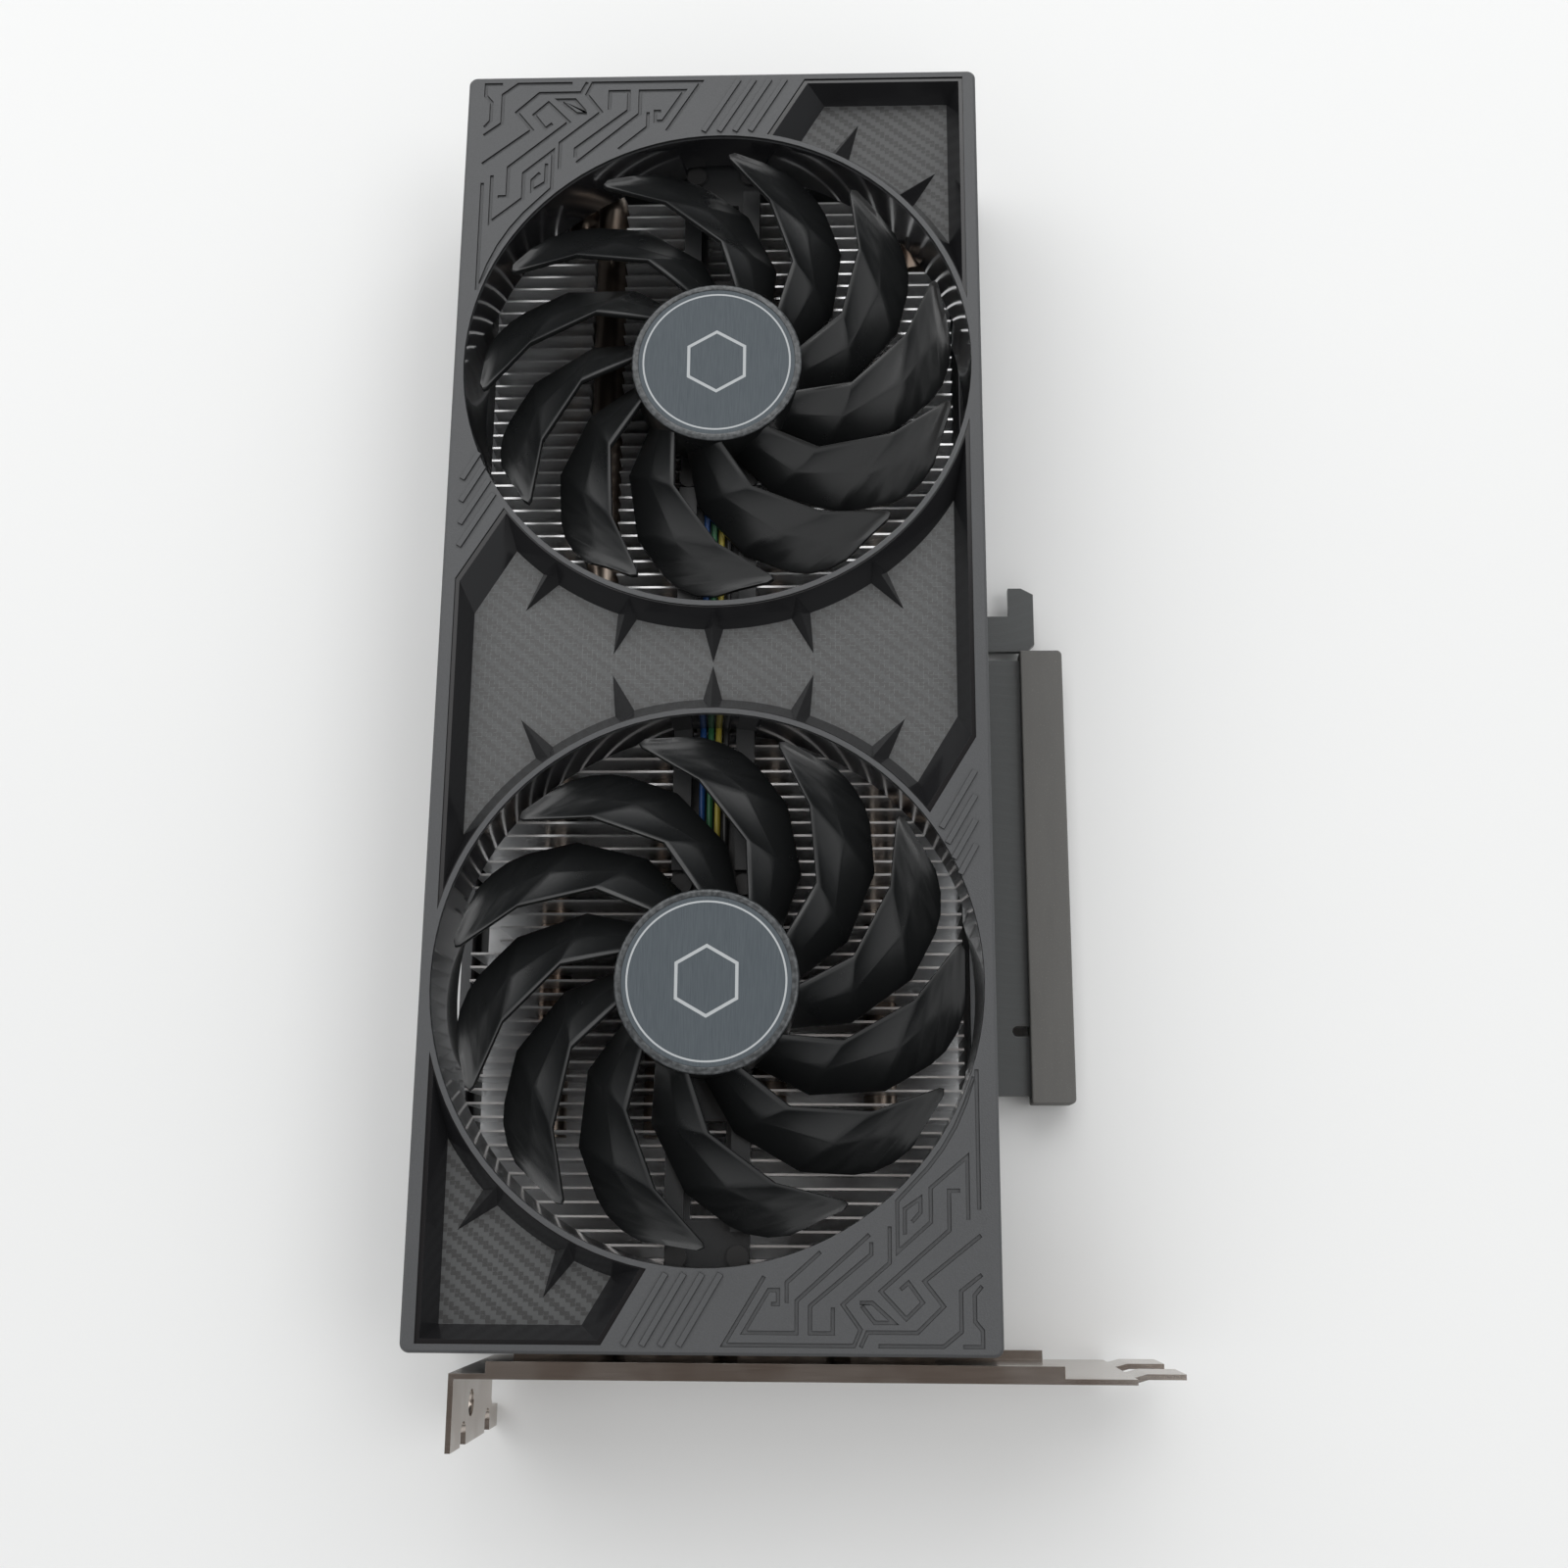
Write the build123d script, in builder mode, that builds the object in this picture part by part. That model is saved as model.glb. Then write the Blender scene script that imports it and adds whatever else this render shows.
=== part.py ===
"""Dual-slot, dual-fan graphics card.

Row frame: millimetres, +Z up out of the fan side, +Y from the rear bracket to the far end,
+X towards the edge connector.  The origin is the centre of the footprint, on the surface the card lies on.
"""

from build123d import *
import math
import os

# ---------------------------------------------------------------- driving dimensions
CARD_WIDTH = 128.12  # bracket tab to the end of the slot tongues
CARD_LENGTH = 252.49  # screw tab edge to the far end of the shroud
UNDERSIDE = 5.0  # backplate face below the board's component side

SHROUD_WIDTH = 98.2
SHROUD_LENGTH = 237.0
SHROUD_TOP = 36.0  # above the board's component side
SKIRT_WALL = 2.0
FACE_DEPTH = 4.8  # thickness of the face and depth of the recesses

FAN_OFFSET = 57.7  # fan centres either side of the shroud's centre
FAN_OPENING = 47.2
RIM_RADIUS = 48.2
RING_FOOT_RADIUS = 51.1
DUCT_LIP = 14.0  # the duct reaches this low beside the fins
DUCT_BOTTOM = 22.4
DUCT_TOP = 34.9
RAIL_TOP = 26.0

HUB_RADIUS = 15.9
HUB_TOP = 35.5
HUB_BOTTOM = 25.2
BADGE_RADIUS = 14.6
BLADE_RADIUS = 44.4
BLADE_COUNT = 11
BLADE_THICKNESS = 1.2
BLADE_PHASE = {"near": 9.3, "far": 39.6}  # degrees, where one blade's tip stands
SHAFT_RADIUS = 1.5
BEARING_CLEARANCE = 0.03

BOARD_THICKNESS = 1.57
BOARD_RIGHT = 92.0
BOARD_FAR = 238.5
EDGE_TAB = 85.2
EDGE_TAB_NEAR = 47.9
EDGE_TAB_OUT = 106.0

FIN_THICKNESS = 0.4
FIN_TOP = 22.0
FIN_BOTTOM = 6.6
FIN_LEFT = {"near": -43.4, "far": -44.0}
FIN_RIGHT = 44.5
MIDDLE_GAP = 10.2  # first fin either side of the shroud's centre line
NEAR_PITCH = 2.4
NEAR_COUNT = 41
FAR_PITCH = 2.6
FAR_COUNT = 35
PIPE_RADIUS = 3.0
LOWER_PIPE_Z = 9.6
UPPER_PIPE_Z = 18.4
OUTER_PIPE_X = 30.0
INNER_PIPE_X = 10.0
LEFT_RETURN_X = -22.4
RIGHT_RETURN_X = 38.0
PIPE_BEND = 5.4

STRUT_BOTTOM = 22.6
STRUT_FLOOR = 24.0
STRUT_HALF = 7.3
CHANNEL_HALF = 4.0
LEAD_RADIUS = 0.55
LEAD_PITCH = 1.4

PLATE = 0.9  # bracket sheet
PLATE_LOW = -4.0
PLATE_HIGH = 34.8
PLATE_END = 111.5
SLOT_PITCH = 20.32

# ---------------------------------------------------------------- datums
BOARD_ORIGIN = (-CARD_WIDTH / 2 + 8.1, -CARD_LENGTH / 2 + 11.43, UNDERSIDE)
SHROUD_CENTRE = (41.0, 122.56)  # from the bracket corner

card = Plane(origin=BOARD_ORIGIN)
cooler = card.shift_origin(card.from_local_coords(Vector(*SHROUD_CENTRE, 0)))


def card_point(x, y, z=0.0):
    """A point measured from the bracket corner, on the board's component side."""
    return card.from_local_coords(Vector(x, y, z))


def cooler_point(x, y, z=0.0):
    """A point measured from the shroud's centre, on the board's component side."""
    return cooler.from_local_coords(Vector(x, y, z))


def fan_plane(side, height):
    """Plane on a fan's centre; its +Y always points at the middle of the card."""
    return Plane(origin=cooler_point(0, side * FAN_OFFSET, height), x_dir=(-side, 0, 0), z_dir=(0, 0, 1))


def finish(builder, name):
    """Label a finished piece and write its STEP file."""
    builder.part.label = name
    export_step(builder.part, f"parts/{name}.step")


def turned(points):
    """The same outline turned half round the shroud's centre."""
    return [(-x, -y) for x, y in points]


os.makedirs("parts", exist_ok=True)

NEAR, FAR = -1, 1  # fan nearer the bracket, fan nearer the far end
FANS = {"near": NEAR, "far": FAR}
FAN_CENTRES = [(0, -FAN_OFFSET), (0, FAN_OFFSET)]
FLOOR_Z = SHROUD_TOP - FACE_DEPTH

# ---------------------------------------------------------------- shroud
END_TOP = [(16.2, 117.0), (46.6, 117.0), (46.6, 66.0), (6.2, 100.2)]
END_FLOOR = [(20.0, 114.2), (43.8, 114.2), (43.8, 62.0), (9.2, 96.0)]
MIDDLE_TOP = [(-46.6, 15.0), (-34.0, 35.7), (46.6, 50.0), (46.6, -15.0), (34.0, -35.7), (-46.6, -50.0)]
MIDDLE_FLOOR = [(-43.8, 9.9), (-29.8, 33.1), (43.8, 50.0), (43.8, -9.9), (29.8, -33.1), (-43.8, -50.0)]
RECESSES = {
    "far": (END_TOP, END_FLOOR),
    "middle": (MIDDLE_TOP, MIDDLE_FLOOR),
    "near": (turned(END_TOP), turned(END_FLOOR)),
}
CORNER_BOSSES = [(-44.1, -113.5), (44.1, -113.5), (-44.1, 113.5), (44.1, 113.5)]
BOSS_SIZE = 6.0
WINDOWS = [
    # middle, length, low, high
    (-61.0, 92.0, 3.5, DUCT_LIP),
    (0.0, 24.0, 0.0, 24.5),
    (61.0, 92.0, 3.5, 7.5),
]
END_OPENING = (80.0, 26.0)  # width and height of the shroud's opening behind the bracket
END_SLOT = (14.0, 3.4)  # the far wall has rows of these
END_SLOT_ROWS = [9.0, 15.0, 21.0]
END_SLOT_X = [-27.0, -9.0, 9.0, 27.0]
SCREW_RADIUS = 1.5

# Engraved line work of the near corner; the far corner has the same, turned half round.
ENGRAVING_WIDTH = 0.6
ENGRAVING_DEPTH = 0.35
ENGRAVING = [
    [(11.5, -110.4), (12.6, -110.4), (12.6, -108.2), (11.1, -108.2), (7.0, -114.9), (15.6, -114.9),
     (15.6, -109.9), (27.5, -99.4)],
    [(10.3, -106.1), (3.8, -116.8), (24.9, -116.8), (26.0, -114.3), (23.1, -110.4), (30.8, -103.8),
     (30.8, -98.1)],
    [(21.5, -110.9), (21.5, -114.9), (17.8, -114.9), (17.8, -110.7), (27.8, -102.5), (27.8, -100.6)],
    [(14.0, -110.2), (14.0, -107.0), (19.5, -102.2)],
    [(28.9, -116.8), (39.4, -116.8), (42.3, -114.5), (42.3, -108.2), (45.7, -105.6)],
    [(42.5, -116.8), (45.7, -116.8), (45.7, -114.3), (44.5, -112.9), (44.5, -108.8), (45.7, -107.4)],
    [(26.0, -117.0), (27.1, -114.7), (35.2, -114.7), (39.5, -110.6), (36.4, -106.7), (45.7, -99.4)],
    [(25.9, -110.1), (27.9, -110.1), (31.4, -113.2), (28.3, -113.2), (26.2, -110.6)],
    [(32.5, -108.0), (33.8, -106.9), (36.1, -110.0), (33.4, -112.6), (29.3, -108.3), (40.6, -98.6),
     (40.6, -92.3), (42.4, -92.3)],
    [(33.3, -99.3), (33.3, -95.3), (35.9, -93.5), (35.9, -95.8), (34.5, -97.3)],
    [(43.7, -96.9), (43.7, -86.8), (37.6, -91.9), (37.6, -97.3), (32.1, -102.1), (32.1, -94.0), (35.3, -90.7),
     (37.2, -88.7), (39.6, -85.6), (41.8, -82.0), (43.6, -78.0), (45.0, -73.8)],
    [(45.5, -72.6), (45.5, -95.3)],
]
RIB_WIDTH = 1.0
RIB_HEIGHT = 0.35
RIBS = [[(3.2 - 3.0 * i, -105.7), (-3.5 - 3.0 * i, -117.0)] for i in range(4)]
RIBS += [[(46.3, -21.1 - 4.35 * i), (40.3 + 1.03 * i, -31.3 - 2.7 * i)] for i in range(4)]


def skirt_windows(side):
    """Air windows of one long side, given as -1 or +1, low on the skirt."""
    for middle, length, low, high in WINDOWS:
        with Locations(cooler_point(side * SHROUD_WIDTH / 2, middle, (low + high) / 2)):
            Box(3 * SKIRT_WALL, length, high - low, mode=Mode.SUBTRACT)


with BuildPart() as shroud:
    with BuildSketch(cooler.offset(1.0)):
        RectangleRounded(SHROUD_WIDTH, SHROUD_LENGTH, 1.6)
        RectangleRounded(SHROUD_WIDTH - 2 * SKIRT_WALL, SHROUD_LENGTH - 2 * SKIRT_WALL, 0.8, mode=Mode.SUBTRACT)
    extrude(amount=FLOOR_Z - 1.0)
    with BuildSketch(cooler.offset(0.0)):
        with Locations(*CORNER_BOSSES):
            Rectangle(BOSS_SIZE, BOSS_SIZE)
    extrude(amount=FLOOR_Z - 2.0)
    with BuildSketch(cooler.offset(FLOOR_Z)):
        RectangleRounded(SHROUD_WIDTH, SHROUD_LENGTH, 1.6)
    extrude(amount=FACE_DEPTH)
    chamfer(shroud.faces().sort_by(Axis.Z)[-1].outer_wire().edges(), 0.5)
    for top_outline, _ in RECESSES.values():
        with BuildSketch(cooler.offset(FLOOR_Z - 3.0)):
            Polygon(*top_outline, align=None)
            with Locations(*FAN_CENTRES):
                Circle(RIM_RADIUS, mode=Mode.SUBTRACT)
        extrude(amount=FACE_DEPTH + 4.0, mode=Mode.SUBTRACT)
    with BuildSketch(cooler.offset(DUCT_LIP)):
        with Locations(*FAN_CENTRES):
            Circle(RIM_RADIUS)
    extrude(amount=DUCT_TOP - DUCT_LIP, mode=Mode.SUBTRACT)
    with BuildSketch(cooler.offset(FLOOR_Z)):
        with Locations(*FAN_CENTRES):
            Circle(FAN_OPENING)
    extrude(amount=FACE_DEPTH + 1.0, mode=Mode.SUBTRACT)
    with BuildSketch(cooler.offset(SHROUD_TOP)):
        for line in ENGRAVING + [turned(points) for points in ENGRAVING]:
            with BuildLine():
                Polyline(*line)
            trace(line_width=ENGRAVING_WIDTH)
    extrude(amount=-ENGRAVING_DEPTH, mode=Mode.SUBTRACT)
    with BuildSketch(cooler.offset(SHROUD_TOP)):
        for line in RIBS + [turned(points) for points in RIBS]:
            with BuildLine():
                Polyline(*line)
            trace(line_width=RIB_WIDTH)
    extrude(amount=RIB_HEIGHT)
    skirt_windows(-1)
    skirt_windows(1)
    with Locations(cooler_point(0, -SHROUD_LENGTH / 2, END_OPENING[1] / 2)):
        Box(END_OPENING[0], 3 * SKIRT_WALL, END_OPENING[1], mode=Mode.SUBTRACT)
    for height in END_SLOT_ROWS:
        with Locations(*[cooler_point(x, SHROUD_LENGTH / 2, height) for x in END_SLOT_X]):
            Box(END_SLOT[0], 3 * SKIRT_WALL, END_SLOT[1], mode=Mode.SUBTRACT)
    with Locations(*[cooler_point(x, y, 3.0) for x, y in CORNER_BOSSES]):
        Cylinder(SCREW_RADIUS, 6.0, mode=Mode.SUBTRACT)
finish(shroud, "shroud")

# ---------------------------------------------------------------- black recess inserts
SPIKE_TIP = 58.6
SPIKE_HALF = 2.6
INSERT_BOTTOM = FLOOR_Z - 1.6
INSERT_TOP = SHROUD_TOP - 0.3
INSERT_LEDGE = 0.6
SPIKES = {
    "far": [(FAR, 45), (FAR, 63)],
    "middle": [(FAR, -90 + 18 * i) for i in range(-2, 3)] + [(NEAR, 90 + 18 * i) for i in range(-2, 3)],
    "near": [(NEAR, 225), (NEAR, 243)],
}


def spike(side, angle):
    """Pointed ridge that runs down from a fan ring to the recess floor."""
    outward = Vector(1, 0, 0).rotate(Axis.Z, angle)
    along = Vector(0, 1, 0).rotate(Axis.Z, angle)
    centre = cooler_point(0, side * FAN_OFFSET, FLOOR_Z - 0.4)
    tip = SPIKE_TIP - (1.2 if abs(angle) == 90 else 0.0)
    with BuildSketch(Plane(origin=centre + outward * (RIM_RADIUS + 0.5), x_dir=along, z_dir=outward)) as root:
        Polygon((-SPIKE_HALF, 0), (SPIKE_HALF, 0), (0, FACE_DEPTH - 0.4), align=None)
    point = centre + outward * tip + Vector(0, 0, 0.4)
    loft(sections=[root.sketch.faces()[0], Vertex(*point)])


for name, (top_outline, floor_outline) in RECESSES.items():
    with BuildPart() as hollow:
        with BuildSketch(cooler.offset(FLOOR_Z)):
            Polygon(*floor_outline, align=None)
        with BuildSketch(cooler.offset(SHROUD_TOP)):
            Polygon(*top_outline, align=None)
            offset(amount=-INSERT_LEDGE, kind=Kind.INTERSECTION, mode=Mode.REPLACE)
        loft(ruled=True)
        with Locations(*[cooler_point(x, y, FLOOR_Z + FACE_DEPTH / 2) for x, y in FAN_CENTRES]):
            Cone(RING_FOOT_RADIUS, RIM_RADIUS, FACE_DEPTH, mode=Mode.SUBTRACT)
    with BuildPart() as insert:
        with BuildSketch(cooler.offset(INSERT_BOTTOM)):
            Polygon(*top_outline, align=None)
            with Locations(*FAN_CENTRES):
                Circle(RIM_RADIUS, mode=Mode.SUBTRACT)
        extrude(amount=INSERT_TOP - INSERT_BOTTOM)
        add(hollow.part, mode=Mode.SUBTRACT)
        for side, angle in SPIKES[name]:
            spike(side, angle)
    finish(insert, f"recess_insert_{name}")

# ---------------------------------------------------------------- fans
BLADE_TOP = 34.6
BLADE_SECTIONS = [
    # front radius and angle, trailing radius and angle (degrees behind the tip), trailing height
    (15.0, -45.0, 15.0, -71.5, 27.4),
    (25.5, -31.8, 25.5, -56.2, 27.2),
    (35.6, -14.0, 35.3, -39.8, 27.2),
    (39.2, -6.7, 38.2, -33.0, 27.2),
    (41.7, -2.9, 40.7, -28.4, 27.2),
    (43.2, -0.9, 42.4, -24.5, 27.6),
    (44.0, -0.6, 43.7, -19.8, 28.6),
    (BLADE_RADIUS, -1.9, BLADE_RADIUS, -15.0, 30.2),
]
BLADE_STRIP = 1.2  # width of the flat strip along the front edge
BLADE_SWELL = 0.5  # how far the middle of the blade stands above a straight line
HUB_WALL = 2.3
HUB_ROOF = 1.6
BADGE_DEPTH = 0.4
BADGE_THICKNESS = 0.3
BEARING_TOP = 32.0
BEARING_BOTTOM = 23.6
BEARING_RADIUS = 3.0
BEARING_POST = 4.2  # radius of the post that holds the bearing
SHAFT_BOTTOM = 24.0
SHAFT_TOP = BEARING_TOP + 2.4
MAGNET_BOTTOM = 25.8
MAGNET_HEIGHT = 6.6
MAGNET_INSIDE = 12.0
STATOR_BOTTOM = 25.6
STATOR_HEIGHT = 5.6
POLE_COUNT = 4
MOTOR_FLOOR = 24.6
LEAD_START = 19.5
LEAD_TURN = 53.0
LEAD_EXIT = 43.0
STRUT_END = 49.6
DUCT_LIP_FROM = 45.2
RAIL_START = 21.0
MOTOR_BASE = 15.6
PAD_START = 41.5
FAN_SCREWS = [(-5.6, 18.6), (5.6, 18.6), (-5.6, -18.6), (5.6, -18.6), (-5.3, -45.6), (5.3, -45.6)]
FAN_SCREW_RADIUS = 1.0
FAN_SCREW_HEAD = 1.9
PLUG_TOP = 7.5


def polar(radius, angle):
    return Vector(radius, 0, 0).rotate(Axis.Z, angle)


def blade_section(section):
    """Curved strip across the blade from its front edge down to its trailing edge."""
    front_radius, front_angle, rear_radius, rear_angle, rear_height = section
    front = polar(front_radius, front_angle) + Vector(0, 0, BLADE_TOP)
    rear = polar(rear_radius, rear_angle) + Vector(0, 0, rear_height)
    down = Vector(0, 0, -BLADE_THICKNESS)
    back = Vector(rear.X - front.X, rear.Y - front.Y, 0).normalized()
    crown = front + back * BLADE_STRIP + down * 0.2
    swell = (crown + rear) * 0.5 - down.normalized() * BLADE_SWELL
    edge = [front + down, front + down * 0.25, front + back * 0.3]
    return Wire.make_polygon(edge + [crown, swell, rear, rear + down * 0.7, swell + down])


def blade():
    """One blade with its tip at angle zero, drawn at the fan's own centre."""
    return Solid.make_loft([blade_section(section) for section in BLADE_SECTIONS], ruled=True)


for name, side in FANS.items():
    base = fan_plane(side, 0)

    with BuildPart() as rotor:
        with BuildSketch(base.offset(HUB_BOTTOM)):
            Circle(HUB_RADIUS)
        extrude(amount=HUB_TOP - HUB_BOTTOM)
        fillet(rotor.edges().filter_by(GeomType.CIRCLE).sort_by(Axis.Z)[-1], 0.6)
        shape = blade()
        for index in range(BLADE_COUNT):
            turn = Location((0, 0, 0), (0, 0, BLADE_PHASE[name] + index * 360 / BLADE_COUNT))
            add(base.location * turn * shape)
        with BuildSketch(base.offset(HUB_BOTTOM)):
            Circle(HUB_RADIUS - HUB_WALL)
        extrude(amount=HUB_TOP - HUB_BOTTOM - HUB_ROOF, mode=Mode.SUBTRACT)
        with BuildSketch(base.offset(HUB_TOP - BADGE_DEPTH)):
            Circle(BADGE_RADIUS + 0.05)
        extrude(amount=1.0, mode=Mode.SUBTRACT)
        with BuildSketch(base.offset(BEARING_TOP + 0.6)):
            Circle(BEARING_RADIUS - 0.4)
        extrude(amount=HUB_TOP - HUB_ROOF - BEARING_TOP - 0.6 + 0.1)
        with BuildSketch(base.offset(BEARING_TOP)):
            Circle(SHAFT_RADIUS)
        extrude(amount=SHAFT_TOP - BEARING_TOP, mode=Mode.SUBTRACT)
    finish(rotor, f"fan_rotor_{name}")

    with BuildPart() as badge:
        with BuildSketch(base.offset(HUB_TOP - BADGE_DEPTH)):
            Circle(BADGE_RADIUS)
        extrude(amount=BADGE_THICKNESS)
    finish(badge, f"hub_badge_{name}")

    with BuildPart() as shaft:
        with BuildSketch(base.offset(SHAFT_BOTTOM)):
            Circle(SHAFT_RADIUS)
        extrude(amount=SHAFT_TOP - SHAFT_BOTTOM)
    finish(shaft, f"fan_shaft_{name}")

    with BuildPart() as magnet:
        with BuildSketch(base.offset(MAGNET_BOTTOM)):
            Circle(HUB_RADIUS - HUB_WALL)
            Circle(MAGNET_INSIDE, mode=Mode.SUBTRACT)
        extrude(amount=MAGNET_HEIGHT)
    finish(magnet, f"magnet_ring_{name}")

    with BuildPart() as bearing:
        with BuildSketch(base.offset(BEARING_BOTTOM)):
            Circle(BEARING_RADIUS)
            Circle(SHAFT_RADIUS + BEARING_CLEARANCE, mode=Mode.SUBTRACT)
        extrude(amount=BEARING_TOP - BEARING_BOTTOM)
    finish(bearing, f"fan_bearing_{name}")

    with BuildPart() as stator:
        with BuildSketch(base.offset(STATOR_BOTTOM)):
            Circle(6.4)
            with PolarLocations(7.6, POLE_COUNT):
                Rectangle(5.0, 3.2)
            with PolarLocations(9.9, POLE_COUNT):
                Rectangle(2.0, 7.6)
            Circle(BEARING_POST + 0.05, mode=Mode.SUBTRACT)
        extrude(amount=STATOR_HEIGHT)
    finish(stator, f"fan_stator_{name}")

    with BuildPart() as frame:
        with BuildSketch(base.offset(STRUT_BOTTOM)):
            Rectangle(2 * STRUT_HALF, 2 * STRUT_END)
            with Locations((0, (LEAD_EXIT + STRUT_END) / 2)):
                Rectangle(2 * CHANNEL_HALF, STRUT_END - LEAD_EXIT, mode=Mode.SUBTRACT)
        extrude(amount=STRUT_FLOOR - STRUT_BOTTOM)
        with BuildSketch(base.offset(STRUT_FLOOR)):
            for low, high in ((-PAD_START, -RAIL_START), (RAIL_START, STRUT_END)):
                with Locations((0, (low + high) / 2)):
                    Rectangle(2 * STRUT_HALF, high - low)
                    Rectangle(2 * CHANNEL_HALF, high - low, mode=Mode.SUBTRACT)
        extrude(amount=RAIL_TOP - STRUT_FLOOR)
        with BuildSketch(base.offset(STRUT_BOTTOM)):
            with Locations((0, -(RAIL_START + PAD_START) / 2)):
                Rectangle(2 * CHANNEL_HALF - 2.0, PAD_START - RAIL_START - 4.0)
        extrude(amount=STRUT_FLOOR - STRUT_BOTTOM, mode=Mode.SUBTRACT)
        with BuildSketch(base.offset(STRUT_FLOOR)):
            with Locations((0, LEAD_START - 0.75)):
                Rectangle(6.4, 1.5)
        extrude(amount=1.2)
        with BuildSketch(base.offset(STRUT_BOTTOM)):
            Circle(MOTOR_BASE)
        extrude(amount=MOTOR_FLOOR - STRUT_BOTTOM)
        with BuildSketch(base.offset(MOTOR_FLOOR)):
            Circle(BEARING_POST)
        extrude(amount=BEARING_TOP - MOTOR_FLOOR)
        with BuildSketch(base.offset(BEARING_BOTTOM)):
            Circle(BEARING_RADIUS)
        extrude(amount=BEARING_TOP - BEARING_BOTTOM, mode=Mode.SUBTRACT)
        with BuildSketch(base.offset(STRUT_BOTTOM)):
            with Locations(*FAN_SCREWS):
                Circle(FAN_SCREW_RADIUS)
        extrude(amount=RAIL_TOP - STRUT_BOTTOM, mode=Mode.SUBTRACT)
    finish(frame, f"fan_frame_{name}")

    with BuildPart() as screws:
        with BuildSketch(base.offset(STRUT_BOTTOM)):
            with Locations(*FAN_SCREWS):
                Circle(FAN_SCREW_RADIUS)
        extrude(amount=STRUT_FLOOR - STRUT_BOTTOM)
        with BuildSketch(base.offset(STRUT_FLOOR)):
            with Locations(*FAN_SCREWS):
                Circle(FAN_SCREW_HEAD)
        extrude(amount=1.0)
    finish(screws, f"fan_screws_{name}")

    with BuildPart() as duct:
        with BuildSketch(base.offset(DUCT_BOTTOM)):
            Circle(RIM_RADIUS)
            Circle(FAN_OPENING, mode=Mode.SUBTRACT)
        extrude(amount=DUCT_TOP - DUCT_BOTTOM)
        with BuildSketch(base.offset(DUCT_LIP)):
            Circle(RIM_RADIUS)
            Circle(FAN_OPENING, mode=Mode.SUBTRACT)
            Rectangle(2 * DUCT_LIP_FROM, 2 * RIM_RADIUS, mode=Mode.SUBTRACT)
        extrude(amount=DUCT_BOTTOM - DUCT_LIP)
        with BuildSketch(base.offset(DUCT_BOTTOM)):
            Rectangle(2 * STRUT_HALF + 0.1, 2 * STRUT_END)
        extrude(amount=RAIL_TOP + 0.05 - DUCT_BOTTOM, mode=Mode.SUBTRACT)
    finish(duct, f"fan_duct_{name}")

    with BuildPart() as leads:
        for index in range(4):
            x = (index - 1.5) * LEAD_PITCH
            height = STRUT_FLOOR + LEAD_RADIUS
            corners = [(x, LEAD_START, height), (x, LEAD_TURN, height), (x, LEAD_TURN, PLUG_TOP)]
            shorter = height - PLUG_TOP
            radius = 0.45 * shorter / math.tan(math.radians(45))
            with BuildLine(base) as route:
                FilletPolyline(*corners, radius=radius)
            path = route.wires()[0]
            with BuildSketch(Plane(origin=path @ 0, z_dir=path % 0)):
                Circle(LEAD_RADIUS)
            sweep(path=path)
        length = path.length
        print(f"fan_leads_{name}: 4 leads {length:.1f} mm, bend radius {radius:.1f} mm, "
              f"volume {leads.part.volume:.1f} of {4 * length * math.pi * LEAD_RADIUS**2:.1f}")
    finish(leads, f"fan_leads_{name}")

# ---------------------------------------------------------------- fan headers
HEADER_OFFSET = FAN_OFFSET - LEAD_TURN
HEADER_TOP = 3.6

with BuildPart() as headers:
    with BuildSketch(cooler.offset(0)):
        with Locations((0, -HEADER_OFFSET), (0, HEADER_OFFSET)):
            Rectangle(10.2, 4.4)
    extrude(amount=HEADER_TOP)
finish(headers, "fan_headers")

with BuildPart() as plugs:
    with BuildSketch(cooler.offset(HEADER_TOP)):
        with Locations((0, -HEADER_OFFSET), (0, HEADER_OFFSET)):
            Rectangle(9.2, 3.6)
    extrude(amount=PLUG_TOP - HEADER_TOP)
    chamfer(plugs.edges().filter_by(Axis.Z), 0.4)
finish(plugs, "fan_plugs")

# ---------------------------------------------------------------- heatsink
PIPE_SLOT = PIPE_RADIUS + 0.1
RIGHT_SLOT_FROM = 84.0
GPU_Y = -49.0
COLD_PLATE = 78.0
PLATE_UNDER = 2.4  # the cold plate's underside
PLATE_OVER = 5.2  # the cold plate's top, where the fin bases sit
SCREW_SPACING = 64.0
PIPE_END = GPU_Y - 34.0
PIPE_LOOP = 104.0
PIPE_RETURN_END = 14.0
FAR_END = MIDDLE_GAP + (FAR_COUNT - 1) * FAR_PITCH + FIN_THICKNESS
BEND_FLOOR = 13.0  # fins are cut down to this where the pipes bend


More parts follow.
